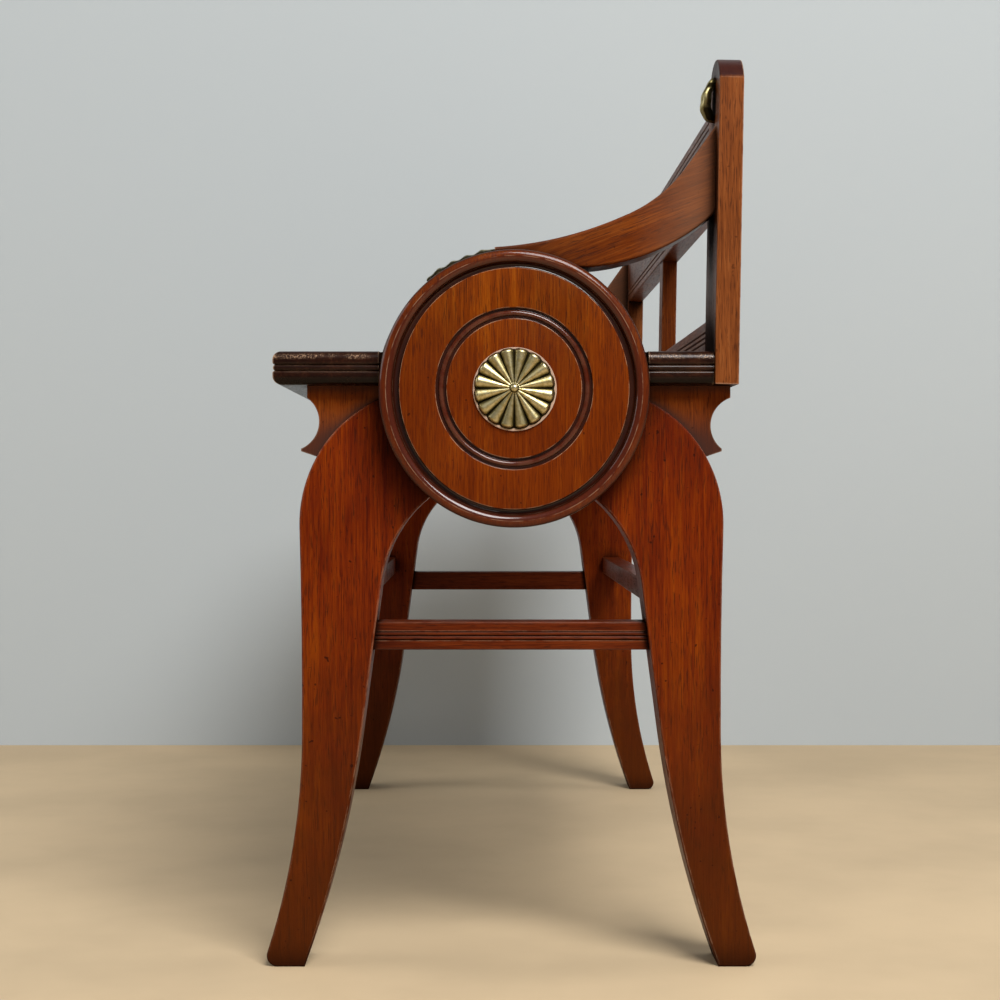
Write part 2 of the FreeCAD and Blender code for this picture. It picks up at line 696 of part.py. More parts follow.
def tenoned_bar(span, thick, height, tenon_thick, tenon_height, tenon_length, y, z):
    """A plain bar along the bench with a tenon at each end."""
    body = new_body("Bar")
    section = rectangle(f"-{thick} / 2", "0", f"{thick} / 2", height)
    bar = pad(body, outline(body, "YZ_Plane", section), span)
    rounded = round_edges(body, bar, "rail_edge_round", corner_edges("X"))
    body.Tip = rounded
    tongue = rectangle(f"-{tenon_thick} / 2", f"({height} - {tenon_height}) / 2",
                       f"{tenon_thick} / 2", f"({height} + {tenon_height}) / 2")
    pad(body, outline(body, "YZ_Plane", tongue, name="Tenon"), f"{span} + 2 * {tenon_length}")
    return place(body, 0, y, z)


def long_bars(side_name, side, bores):
    """The stretcher and the seat rail along one side of the bench."""
    stretcher = tenoned_bar(LEG_SPAN, "long_stretcher_thick", "long_stretcher_height",
                            "stretcher_tenon_thick", "stretcher_tenon_height", "stretcher_tenon_length",
                            f"{side} * (ankle_reach - long_stretcher_inset)", "long_stretcher_level")
    piece(stretcher, f"{side_name}_stretcher")
    rail = tenoned_bar(LEG_SPAN, "seat_rail_thick", "seat_rail_height",
                       "seat_tenon_thick", "seat_tenon_height", "seat_tenon_length",
                       f"{side} * (leg_joint + seat_rail_offset)", f"{UNDER} - seat_rail_height")
    piece(cut(rail, bores), f"{side_name}_seat_rail")


def glue_blocks():
    """Square blocks in the corner between the seat rails and the seat."""
    blocks = []
    for _, side in SIDES:
        middle = f"{side} * (leg_joint + seat_rail_offset - (seat_rail_thick + glue_block_width) / 2)"
        for step in (-1, 1):
            blocks.append(block(f"{step} * glue_block_spread", middle, f"{UNDER} - glue_block_width",
                                "glue_block_length", "glue_block_width", "glue_block_width"))
    piece(group(blocks), "glue_blocks")


# The back, in its own frame: Y from the stiles' front faces, Z from the seat's underside

TOP_RAIL_Z = f"({STILE_TOP} - top_rail_drop - top_rail_height)"
BOTTOM_RAIL_Z = "(seat_thick + bottom_rail_lift)"
RAIL_Y = "(rail_inset + rail_thick / 2)"


def rail_tenon_spans():
    """The foot and the height of the tenons of the two rails."""
    for foot, height in ((TOP_RAIL_Z, "top_rail_height"), (BOTTOM_RAIL_Z, "bottom_rail_height")):
        yield f"{foot} + rail_tenon_shoulder", f"{height} - 2 * rail_tenon_shoulder"


def back_stile(end_name, end, bores):
    """An arch-topped stile, mortised for both rails and bored for its brass boss."""
    half, spring = "stile_width / 2", f"{STILE_TOP} - stile_arch"
    arch = bead_arc("stile_width", "stile_arch")
    corners = [(f"-{half}", "stile_lift"), (half, "stile_lift"), (half, spring), (f"-{half}", spring, arch)]
    body = new_body("StileBlank")
    blank = pad(body, outline(body, "XZ_Plane", corners), "stile_thick", reverse=True, centred=False)
    round_edges(body, blank, "stile_edge_round", front_edges)
    place(body, f"{end} * {STILE_X}")
    mortises = [
        block(f"{end} * {BACK_SPAN} / 2", RAIL_Y, f"{foot} - mortise_fit",
              "2 * (rail_tenon_length + mortise_end_room)", "rail_tenon_thick + 2 * mortise_fit",
              f"{height} + 2 * mortise_fit")
        for foot, height in rail_tenon_spans()]
    stud_hole = rod("stud_radius + bore_fit", "stud_length + bore_fit", f"{end} * {STILE_X}", 0,
                    f"{STILE_TOP} - boss_drop", ALONG_Y)
    shaped = lean(cut(body, mortises + [stud_hole]))
    piece(cut(shaped, bores), f"back_stile_{end_name}")


def grooved_rail(label, foot, height, grooves, tenon, slat_mortise):
    """A rail between the stiles with V grooves along its front."""
    front, back, top = "rail_inset", "rail_inset + rail_thick", f"{foot} + {height}"
    corners = [(back, top), (back, foot), (front, foot)]
    for middle in grooves:
        corners.append((front, f"{middle} - groove_width / 2"))
        corners.append((f"{front} + groove_depth", middle))
        corners.append((front, f"{middle} + groove_width / 2"))
    corners.append((front, top))
    body = new_body("RailBlank")
    bar = pad(body, outline(body, "YZ_Plane", corners), BACK_SPAN)
    rounded = round_edges(body, bar, "rail_edge_round", corner_edges("X"))
    body.Tip = rounded
    tongue_foot, tongue_height = tenon
    tongue = rectangle(f"{RAIL_Y} - rail_tenon_thick / 2", tongue_foot,
                       f"{RAIL_Y} + rail_tenon_thick / 2", f"{tongue_foot} + {tongue_height}")
    pad(body, outline(body, "YZ_Plane", tongue, name="Tenon"), f"{BACK_SPAN} + 2 * rail_tenon_length")
    piece(lean(cut(body, [slat_mortise])), label)


def open_back():
    """The two rails and the slat between them."""
    upper_tenon, lower_tenon = rail_tenon_spans()
    low_top = f"({BOTTOM_RAIL_Z} + bottom_rail_height)"
    depth = "slat_tenon_length + mortise_end_room"

    def slat_mortise(foot):
        return block("0", RAIL_Y, foot, "slat_tenon_width + 2 * mortise_fit",
                     "slat_tenon_thick + 2 * mortise_fit", depth)

    high = f"{TOP_RAIL_Z} + top_rail_height"
    top_grooves = [f"{TOP_RAIL_Z} + top_groove_margin + {step} * top_groove_pitch" for step in (0, 1)]
    top_grooves += [f"{high} - top_groove_margin - {step} * top_groove_pitch" for step in (1, 0)]
    low_grooves = [f"{low_top} - bottom_groove_margin - {step} * bottom_groove_pitch" for step in (2, 1, 0)]
    grooved_rail("top_rail", TOP_RAIL_Z, "top_rail_height", top_grooves, upper_tenon,
                 slat_mortise(TOP_RAIL_Z))
    grooved_rail("bottom_rail", BOTTOM_RAIL_Z, "bottom_rail_height", low_grooves, lower_tenon,
                 slat_mortise(f"{low_top} - ({depth})"))
    body = new_body("Slat")
    face = rectangle("-slat_width / 2", low_top, "slat_width / 2", TOP_RAIL_Z)
    bar = pad(body, outline(body, "XZ_Plane", face), "slat_thick")
    rounded = round_edges(body, bar, "rail_edge_round", corner_edges("Z"))
    body.Tip = rounded
    tongue = rectangle("-slat_tenon_width / 2", f"{low_top} - slat_tenon_length",
                       "slat_tenon_width / 2", f"{TOP_RAIL_Z} + slat_tenon_length")
    pad(body, outline(body, "XZ_Plane", tongue, name="Tenon"), "slat_tenon_thick")
    place(body, 0, RAIL_Y)
    piece(lean(group([body])), "centre_slat")


# The arms and roundels

def stile_front(z):
    """How far behind the centre line the stile fronts lie at a height above the floor."""
    return f"seat_back + ({z} - {UNDER}) * tan(back_lean)"


def drum_point(y_offset):
    """The height on the drum's rim at a distance in front of or behind its centre."""
    return f"{DRUM_Z} + sqrt(drum_radius ^ 2 - ({y_offset}) ^ 2)"


def arm(end_name, end, bores):
    """A sawn arm: a drum that stands on the seat, and a sweep from its top up to the stile."""
    foot = f"sqrt(drum_radius ^ 2 - (seat_height - {DRUM_Z}) ^ 2)"
    corners = [
        (f"{DRUM_Y} - {foot}", "seat_height"),
        (f"{DRUM_Y} - drum_step", drum_point("drum_step"), "-drum_radius"),
        (f"{DRUM_Y} - drum_step", ARM_STEP_Z),
        (f"{stile_front(ARM_DIP_Z)} - arm_dip_setback", ARM_DIP_Z, "arm_dip_radius"),
        (f"{stile_front(ARM_BEND_Z)} - arm_bend_setback", ARM_BEND_Z, "arm_bend_radius"),
        (stile_front(ARM_TOP_Z), ARM_TOP_Z),
        (stile_front(ARM_UNDER_Z), ARM_UNDER_Z),
        (f"{DRUM_Y} + arm_under_reach", drum_point("arm_under_reach"), "-arm_under_radius"),
        (f"{DRUM_Y} + {foot}", "seat_height", "-drum_radius"),
    ]
    body = new_body("ArmBlank")
    blank = pad(body, outline(body, "YZ_Plane", corners), "arm_thick")
    round_edges(body, blank, "arm_edge_round", sawn_edges("X"))
    place(body, f"{end} * {ARM_X}")
    piece(cut(body, bores), f"arm_{end_name}")


def roundel(end_name, end, bores):
    """A turned disc: a beaded and hollowed rim, a flat field and a sunk bead ring."""
    rim = "(roundel_thick - rim_bead_rise)"
    inner_rim = "(roundel_radius - rim_bead_width)"
    field_edge = f"({inner_rim} - rim_hollow_width)"
    field = f"({rim} + field_rise)"
    bed = f"({field} - ring_groove_depth)"
    bead_half, ring_half = "ring_bead_width / 2", "(ring_bead_width / 2 + ring_groove_width)"
    corners = [
        ("0", "0"),
        ("0", "roundel_radius"),
        (rim, "roundel_radius"),
        (rim, inner_rim, "-" + bead_arc("rim_bead_width", "rim_bead_rise")),
        (f"{rim} - rim_hollow_depth", field_edge, "rim_hollow_radius"),
        (field, field_edge),
        (field, f"ring_radius + {ring_half}"),
        (bed, f"ring_radius + {ring_half}"),
        (bed, f"ring_radius + {bead_half}"),
        (bed, f"ring_radius - {bead_half}", "-" + bead_arc("ring_bead_width", "ring_bead_rise")),
        (bed, f"ring_radius - {ring_half}"),
        (field, f"ring_radius - {ring_half}"),
        (field, "stud_radius + bore_fit"),
        (f"{field} - stud_length - bore_fit", "stud_radius + bore_fit"),
        (f"{field} - stud_length - bore_fit", "0"),
    ]
    body = new_body("RoundelBlank")
    turned(body, outline(body, "XZ_Plane", corners), "H_Axis")
    place(body, f"{end} * {END}", DRUM_Y, DRUM_Z, FACING[end])
    piece(cut(body, bores), f"roundel_{end_name}")


# The brass

def rosette(end_name, end):
    """A studded plate with a low cone, a ring of blunt petals and a ball at the centre."""
    corners = [
        ("-stud_length", "0"),
        ("-stud_length", "stud_radius"),
        ("0", "stud_radius"),
        ("0", "rosette_radius"),
        ("rosette_plate", "rosette_radius"),
        ("rosette_plate", "petal_end"),
        ("petal_start_rise", "petal_start"),
        ("petal_start_rise", "0"),
    ]
    body = new_body("Rosette")
    turned(body, outline(body, "XZ_Plane", corners), "H_Axis")
    fall, run = "(petal_start_rise - rosette_plate)", "(petal_end - petal_start)"
    slope = FreeCAD.Rotation(FreeCAD.Vector(0, -1, 0), value(f"atan({fall} / {run})"))
    cone = body.newObject("PartDesign::AdditiveCone", "Petal")
    bind(cone, Radius1="petal_start_radius", Radius2="petal_end_radius",
         Height=f"sqrt({fall} ^ 2 + {run} ^ 2)")
    place(cone, "petal_start_rise", 0, "petal_start", slope)
    cone.setExpression("Placement.Rotation.Angle", formula(f"atan({fall} / {run})"))
    tip = body.newObject("PartDesign::AdditiveCone", "PetalEnd")
    bind(tip, Radius1="petal_end_radius", Radius2="petal_tip_radius", Height="petal_tip_length")
    place(tip, "rosette_plate", 0, "petal_end", slope)
    tip.setExpression("Placement.Rotation.Angle", formula(f"atan({fall} / {run})"))
    doc.recompute()
    petals = body.newObject("PartDesign::PolarPattern", "Petals")
    petals.Originals = [cone, tip]
    axis = next(item for item in body.Origin.OriginFeatures if item.Role == "X_Axis")
    petals.Axis = (axis, [""])
    petals.Angle = 360
    petals.Occurrences = int(value("rosette_petals"))
    body.Tip = petals
    ball = body.newObject("PartDesign::AdditiveSphere", "Ball")
    bind(ball, Radius="rosette_ball")
    place(ball, "rosette_ball_rise", 0, 0)
    behind = rectangle("-petal_end_radius", "petal_start", "0", "rosette_radius + petal_end_radius")
    flat_back = body.newObject("PartDesign::Groove", "FlatBack")
    flat_back.Profile = outline(body, "XZ_Plane", behind, name="Behind")
    flat_back.ReferenceAxis = (flat_back.Profile[0], ["H_Axis"])
    flat_back.Angle = 360
    face = f"{END} + roundel_thick - rim_bead_rise + field_rise"
    place(body, f"{end} * ({face})", DRUM_Y, DRUM_Z, FACING[end])
    piece(body, f"rosette_{end_name}")


def arm_mount(end_name, end):
    """A curved brass strip on the rim of the arm's round end, in front of its step."""
    def rim(radius, angle):
        return f"{DRUM_Y} + {radius} * cos({angle})", f"{DRUM_Z} + {radius} * sin({angle})"

    inner, outer = "drum_radius", "(drum_radius + arm_mount_thick)"
    corners = [
        rim(inner, "arm_mount_start_angle") + (f"-{inner}",),
        rim(outer, "arm_mount_start_angle"),
        rim(outer, "arm_mount_end_angle") + (outer,),
        rim(inner, "arm_mount_end_angle"),
    ]
    body = new_body("MountBlank")
    pad(body, outline(body, "YZ_Plane", corners), "arm_mount_width")
    place(body, f"{end} * {ARM_X}")
    piece(cut(body, pin_rods(end, "bore_fit")), f"arm_mount_{end_name}")


def stile_boss(end_name, end):
    """A domed and studded brass boss near the top of a stile."""
    dome = bead_arc("2 * boss_radius", "boss_rise - boss_rim")
    corners = [
        ("0", "-boss_rise"),
        ("boss_radius", "-boss_rim", dome),
        ("boss_radius", "0"),
        ("stud_radius", "0"),
        ("stud_radius", "stud_length"),
        ("0", "stud_length"),
    ]
    body = new_body("Boss")
    turned(body, outline(body, "XY_Plane", corners), "V_Axis")
    place(body, f"{end} * {STILE_X}", 0, f"{STILE_TOP} - boss_drop")
    piece(lean(group([body])), f"stile_boss_{end_name}")


# The whole bench

def build():
    dowel_bores = dowels("bore_fit")
    seat_bores = screws(seat_screw_places(), "bore_fit")
    roundel_bores = screws(roundel_screw_places(), "bore_fit")
    stile_bores = screws(stile_screw_places(), "bore_fit")
    seat_board(dowel_bores + seat_bores + stile_bores)
    for side_name, side in SIDES:
        long_bars(side_name, side, seat_bores)
    glue_blocks()
    open_back()
    for end_name, end in ENDS:
        for side_name, side in SIDES:
            leg(end_name, end, side_name, side)
            bracket(end_name, end, side_name, side, dowel_bores)
        end_rail(end_name, end, roundel_bores)
        side_stretcher(end_name, end)
        back_stile(end_name, end, dowel_bores + stile_bores)
        arm(end_name, end, dowel_bores + roundel_bores + pin_rods(end, "bore_fit"))
        roundel(end_name, end, roundel_bores)
        rosette(end_name, end)
        arm_mount(end_name, end)
        stile_boss(end_name, end)
    piece(group(dowels()), "dowels")
    piece(group(screws(seat_screw_places())), "seat_screws")
    piece(group(screws(roundel_screw_places())), "roundel_screws")
    piece(group(screws(stile_screw_places())), "stile_screws")
    piece(group(pin_rods(-1) + pin_rods(1)), "mount_pins")
    doc.recompute()


def write():
    """Checks every object, then writes each piece to its own file."""
    failed = [item.Name for item in doc.Objects if {"Invalid", "Error"} & set(item.State)]
    if failed:
        raise RuntimeError(f"failed objects: {failed}")
    for item in pieces:
        if item.Shape.isNull() or not item.Shape.isValid():
            raise RuntimeError(f"bad shape: {item.Label}")
    os.makedirs("parts", exist_ok=True)
    for item in pieces:
        item.Shape.exportStep(f"parts/{item.Label}.step")
        print(f"{item.Label}: {len(item.Shape.Solids)} solids, {item.Shape.Volume / 1000:.1f} cm3")


build()
write()
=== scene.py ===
# %% [markdown]
# # A polished hall bench
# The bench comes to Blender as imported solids: legs, rails, seat, arms and turned roundels, each in its
# true place and in metres. This lesson leaves the joinery where it is. It gives every piece a finish,
# and makes new surfaces only for the pieces whose charm is finer than the solids: the turned roundels,
# the gadrooned rosettes, and the leaf mounts on the arms and stiles.

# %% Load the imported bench
import bpy
import numpy as np
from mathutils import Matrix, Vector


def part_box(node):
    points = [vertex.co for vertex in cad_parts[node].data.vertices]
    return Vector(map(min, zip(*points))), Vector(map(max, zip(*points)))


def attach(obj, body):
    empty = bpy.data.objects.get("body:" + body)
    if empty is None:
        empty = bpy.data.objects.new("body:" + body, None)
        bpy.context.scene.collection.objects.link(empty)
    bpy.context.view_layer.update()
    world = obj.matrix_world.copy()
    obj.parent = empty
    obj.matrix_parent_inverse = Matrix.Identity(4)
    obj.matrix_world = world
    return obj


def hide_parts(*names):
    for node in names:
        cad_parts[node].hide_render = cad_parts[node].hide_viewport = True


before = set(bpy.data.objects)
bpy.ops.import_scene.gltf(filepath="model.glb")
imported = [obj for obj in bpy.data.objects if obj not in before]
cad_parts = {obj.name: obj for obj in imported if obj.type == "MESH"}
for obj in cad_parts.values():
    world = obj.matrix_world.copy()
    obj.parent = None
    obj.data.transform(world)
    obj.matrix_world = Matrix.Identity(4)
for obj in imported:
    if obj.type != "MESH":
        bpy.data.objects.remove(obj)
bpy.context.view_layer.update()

# %% [markdown]
# ## Sizes that the new surfaces share
# Every length below is in metres. The roundels' centre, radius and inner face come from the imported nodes
# themselves, so a new surface always lands on the solid that it stands for.

# %% Ends, centres and faces
MM = 0.001
ENDS = (("left", -1), ("right", 1))
roundel_low, roundel_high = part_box("roundel_right")
LEG_FACE = roundel_low.x
ROUNDEL_Y = (roundel_low.y + roundel_high.y) / 2
ROUNDEL_Z = (roundel_low.z + roundel_high.z) / 2
ROUNDEL_RADIUS = (roundel_high.z - roundel_low.z) / 2
print(f"roundels: centre y {ROUNDEL_Y:.4f} z {ROUNDEL_Z:.4f}, radius {ROUNDEL_RADIUS:.4f}")

# %% [markdown]
# ## Shader sums as plain Python
# A finish is a network of nodes. Wiring it by hand hides the idea, so one small class wraps a socket:
# adding or multiplying two of them lays a Math node, and `node` lays any other kind of node.

# %% The wrapper class
MIX_COLOUR_SOCKETS = {"Factor": 0, "A": 6, "B": 7}
MIX_COLOUR_OUTPUT = 2


def opaque(given):
    """A colour of three numbers with a full alpha; anything else unchanged."""
    return (*given, 1.0) if isinstance(given, tuple) and len(given) == 3 else given


def number_colour_sockets(colours):
    """A Mix node has sockets for every kind of data; these are the numbers of its colour ones."""
    return {MIX_COLOUR_SOCKETS[name]: opaque(given) for name, given in colours.items()}


def fill_ramp(ramp, stops):
    """Sets a colour ramp's stops from pairs of a place and a colour."""
    while len(ramp.elements) < len(stops):
        ramp.elements.new(1.0)
    for element, (spot, colour) in zip(ramp.elements, stops):
        element.position = spot
        element.color = opaque(colour)


class Wire:
    """A shader socket that takes part in sums; each operator lays one Math node."""

    def __init__(self, tree, socket=None):
        self.tree = tree
        self.socket = socket

    def node(self, kind, settings=None, inputs=None, out=0):
        """Lays a node of a type: settings first, then its sockets; returns one of its outputs."""
        node = self.tree.nodes.new(kind)
        for name, setting in (settings or {}).items():
            if name == "stops":
                fill_ramp(node.color_ramp, setting)
            else:
                setattr(node, name, setting)
        for name, given in (inputs or {}).items():
            if isinstance(given, Wire):
                self.tree.links.new(given.socket, node.inputs[name])
            else:
                node.inputs[name].default_value = given
        return Wire(self.tree, node.outputs[out]) if len(node.outputs) else None

    def sum(self, operation, first, second):
        """Lays one Math node between two sockets or numbers."""
        return self.node("ShaderNodeMath", {"operation": operation}, {0: first, 1: second})

    def __add__(self, other):
        return self.sum("ADD", self, other)

    def __sub__(self, other):
        return self.sum("SUBTRACT", self, other)

    def __rsub__(self, other):
        return self.sum("SUBTRACT", other, self)

    def __mul__(self, other):
        return self.sum("MULTIPLY", self, other)

    def ease(self, low, high):
        """0 below the first value, 1 above the second, and a smooth step between them."""
        return self.node("ShaderNodeMapRange", {"interpolation_type": "SMOOTHSTEP"},
                         {"Value": self, "From Min": low, "From Max": high})

    def over(self, under, cover):
        """Lays one colour over another, as far as this mask says."""
        colours = number_colour_sockets({"Factor": self, "A": under, "B": cover})
        return self.node("ShaderNodeMix", {"data_type": "RGBA"}, colours, out=MIX_COLOUR_OUTPUT)


print("wrapper ready")

# %% [markdown]
# Every finish starts from an empty material and ends in one shader. Between the two it asks where a point
# lies on its piece, what a mask on the mesh says there, and how a height should tilt the surface.

# %% Start and end of a finish
def new_finish(name):
    """An empty material and the Wire that lays its nodes."""
    material = bpy.data.materials.new(name)
    material.use_nodes = True
    material.node_tree.nodes.clear()
    return material, Wire(material.node_tree)


def close_finish(lay, matt_shade_and_dirt=None, **sockets):
    """Ends a material in one Principled shader; names use _ for a space.

    The painted shade and dirt is a pair of a mask and a colour. It lies over the rest without any sheen.
    """
    inputs = {name.replace("_", " "): opaque(given) for name, given in sockets.items()}
    shader = lay.node("ShaderNodeBsdfPrincipled", {}, inputs)
    if matt_shade_and_dirt:
        mask, colour = matt_shade_and_dirt
        shade_and_dust = lay.node("ShaderNodeBsdfDiffuse", {}, {"Color": opaque(colour)})
        shader = lay.node("ShaderNodeMixShader", {}, {0: mask, 1: shader, 2: shade_and_dust})
    lay.node("ShaderNodeOutputMaterial", {}, {"Surface": shader})


def own_place(lay):
    """Where a point lies in its piece's own axes."""
    return lay.node("ShaderNodeTexCoord", out="Object")


def mesh_mask(lay, name):
    """A mask that is stored on the points of a mesh."""
    return lay.node("ShaderNodeAttribute", {"attribute_name": name}, out="Fac")


def relief_of(lay, height, strength, depth):
    """A surface tilted by a height."""
    return lay.node("ShaderNodeBump", {}, {"Strength": strength, "Distance": depth, "Height": height})


print("finish helpers ready")

# %% [markdown]
# ## Polished mahogany
# Mahogany has broad ribbons of red and orange brown, fine fibres, and short dark pores. All of them run
# along the grain, so each is a noise stretched on one axis, with its real size across and along. The
# polish is a thin coat over a slightly rough wood. Hands and cloths have thinned it on the arrises, which
# show paler, with a painted highlight along them. The corners are darkened with painted shade and grime,
# most where little open air reaches. A picture of wood could be wrapped round each piece instead, but
# noise has no seams, and it cuts through a piece as real grain does.

# %% Noise and masks
GRAIN_AXIS = {"X": 0, "Y": 1, "Z": 2}
ACROSS_GRAIN = {"X": "Y", "Y": "Z", "Z": "Y"}
NO_TURN = (0.0, 0.0, 0.0)
UP, BACK = (0.0, 0.0, 1.0), (0.0, 1.0, 0.0)
NOISE_ROUGHNESS, NOISE_MEAN = 0.55, 0.5
EDGE_SAMPLES, SKY_SAMPLES = 4, 6


def grain_noise(lay, place, grain, turn, across, along, detail=2.0, shift=0.0):
    """Noise with a feature size across the grain and another along it."""
    sizes = [across] * 3
    sizes[GRAIN_AXIS[grain]] = along
    spot = lay.node("ShaderNodeMapping", {"vector_type": "TEXTURE"},
                    {"Vector": place, "Location": (shift, shift, shift), "Rotation": turn, "Scale": sizes})
    return lay.node("ShaderNodeTexNoise", {}, {"Vector": spot, "Scale": 1.0, "Detail": detail,
                                               "Roughness": NOISE_ROUGHNESS})


def plain_noise(lay, place, size, detail=2.0, shift=0.0):
    """Noise of one feature size all round."""
    return grain_noise(lay, place, "X", NO_TURN, size, size, detail, shift)


def reach_along(lay, place, direction):
    """How far a place lies along a direction, as a number."""
    return lay.node("ShaderNodeVectorMath", {"operation": "DOT_PRODUCT"}, {0: place, 1: direction},
                    out="Value")


def edge_masks(lay, reach, sky):
    """Two masks from the shape itself: how sharp the edge is here, and how open the place is."""
    softened = lay.node("ShaderNodeBevel", {"samples": EDGE_SAMPLES}, {"Radius": reach})
    facing = lay.node("ShaderNodeNewGeometry", out="Normal")
    open_air = lay.node("ShaderNodeAmbientOcclusion", {"samples": SKY_SAMPLES}, {"Distance": sky}, out="AO")
    return 1.0 - reach_along(lay, softened, facing), open_air


print("grain runs along one of", sorted(GRAIN_AXIS))

# %% Figure of the wood
TONES = {
    "leg": {"dark": (0.058, 0.004, 0.001), "mid": (0.143, 0.017, 0.001), "light": (0.235, 0.042, 0.001)},
    "bracket": {"dark": (0.055, 0.010, 0.002), "mid": (0.185, 0.036, 0.003), "light": (0.27, 0.066, 0.007)},
    "field": {"dark": (0.065, 0.011, 0.001), "mid": (0.150, 0.027, 0.001), "light": (0.26, 0.066, 0.003)},
    "arm": {"dark": (0.040, 0.007, 0.001), "mid": (0.110, 0.021, 0.002), "light": (0.20, 0.050, 0.006)},
    "stile": {"dark": (0.065, 0.015, 0.004), "mid": (0.165, 0.045, 0.010), "light": (0.26, 0.085, 0.022)},
    "bar": {"dark": (0.030, 0.004, 0.001), "mid": (0.085, 0.012, 0.002), "light": (0.15, 0.028, 0.005)},
    "seat": {"dark": (0.006, 0.002, 0.001), "mid": (0.014, 0.004, 0.002), "light": (0.042, 0.013, 0.005)},
}
PORE = (0.016, 0.003, 0.001)
SHADE_AND_GRIME = (0.007, 0.003, 0.002)
WORN_AND_HIGHLIGHT = (0.46, 0.29, 0.18)
RIBBON = {"across": 0.013, "along": 0.26, "detail": 3.0}
FIBRE = {"across": 0.0016, "along": 0.055, "detail": 3.0, "shift": 0.31}
FINE = {"across": 0.0007, "along": 0.018, "detail": 2.0, "shift": 0.57}
CLOUD = {"size": 0.07, "detail": 2.0, "shift": 0.83}
GLOOM = {"across": 0.045, "along": 0.15, "detail": 2.0, "shift": 1.7}
PORES = {"across": 0.0008, "along": 0.012, "detail": 1.0, "shift": 0.19}
RIBBON_SHARE, FIBRE_SHARE, FINE_SHARE, CLOUD_SHARE = 0.28, 0.32, 0.24, 0.16
FIGURE_CONTRAST = 2.7
DARK_AT, MID_AT, LIGHT_AT = 0.10, 0.5, 0.90
GLOOM_RANGE, GLOOM_DEPTH = (0.46, 0.66), 0.45
PORE_RANGE, PORE_DEPTH = (0.56, 0.70), 0.60


def wood_colour(lay, place, grain, turn, tone):
    """Ribbons, fibres and pores of one plank; returns its colour, its pores and its finest fibres."""
    ribbon = grain_noise(lay, place, grain, turn, **RIBBON)
    fibre = grain_noise(lay, place, grain, turn, **FIBRE)
    fine = grain_noise(lay, place, grain, turn, **FINE)
    cloud = plain_noise(lay, place, **CLOUD)
    figure = ribbon * RIBBON_SHARE + fibre * FIBRE_SHARE + fine * FINE_SHARE + cloud * CLOUD_SHARE
    shade = (figure - NOISE_MEAN) * FIGURE_CONTRAST + NOISE_MEAN
    stops = [(DARK_AT, tone["dark"]), (MID_AT, tone["mid"]), (LIGHT_AT, tone["light"])]
    colour = lay.node("ShaderNodeValToRGB", {"stops": stops}, {0: shade})
    gloom = grain_noise(lay, place, grain, turn, **GLOOM).ease(*GLOOM_RANGE)
    colour = (gloom * GLOOM_DEPTH).over(colour, tone["dark"])
    pores = grain_noise(lay, place, grain, turn, **PORES).ease(*PORE_RANGE)
    return (pores * PORE_DEPTH).over(colour, PORE), pores, fine


print("tones:", sorted(TONES))

# %% [markdown]
# A graded tint is five things: a direction, the two distances along it where the tint starts and where it is
# full, its strength and its colour. Imported pieces share the bench's axes, so a distance along Up is a
# height over the floor. Most tints below are painted shade, darker where less light falls; the others only
# make a piece darker or paler towards one end. The border wavers, so it never runs as a straight edge.

# %% Graded tints and polish
WAVER = {"size": 0.02, "detail": 3.0, "shift": 0.23}
PATCHES = {"size": 0.012, "detail": 3.0, "shift": 0.41}
DINGS = {"size": 0.0045, "detail": 1.0, "shift": 0.67}
SCORES = {"across": 0.0007, "along": 0.016, "detail": 1.0, "shift": 0.29}
FLECKS = {"across": 0.0010, "along": 0.009, "detail": 3.0, "shift": 0.47}
HAZE = {"size": 0.03, "detail": 3.0, "shift": 0.77}
SCORE_TURN = (0.25, 0.0, 0.15)
TINT_WAVER = 0.4
ARRIS_REACH = 1.7 * MM
EDGE_WEAR_AND_HIGHLIGHT, OPEN_WEAR_AND_HIGHLIGHT, PATCHY_WEAR_AND_HIGHLIGHT = (0.02, 0.12), (0.55, 0.9), (0.30, 0.55)
DING_RANGE, SCORE_RANGE = (0.735, 0.775), (0.755, 0.79)
FLECK_RANGE, FLECK_PATCH = (0.48, 0.62), (0.32, 0.55)
FLECKS_FROM, FLECKS_TO = (0.4522, 0.4545), (0.4576, 0.4554)
FIBRE_RELIEF, DENT_RELIEF = 0.3, 2.0
WOOD_BUMP, WOOD_BUMP_DEPTH = 0.16, 0.2 * MM
HAZE_ROUGH, PORE_ROUGH = 0.22, 0.15
WOOD_SPECULAR, POLISH_ROUGH = 0.06, 0.14


def graded_tint_over(lay, place, colour, stain, waver):
    """A colour with one graded tint over it; waver is how far its border strays, as a share of its width."""
    direction, start, full, strength, tint = stain
    stray = (plain_noise(lay, place, **WAVER) - NOISE_MEAN) * (waver * abs(full - start))
    covered = (reach_along(lay, place, direction) + stray).ease(start, full)
    return (covered * strength).over(colour, tint)


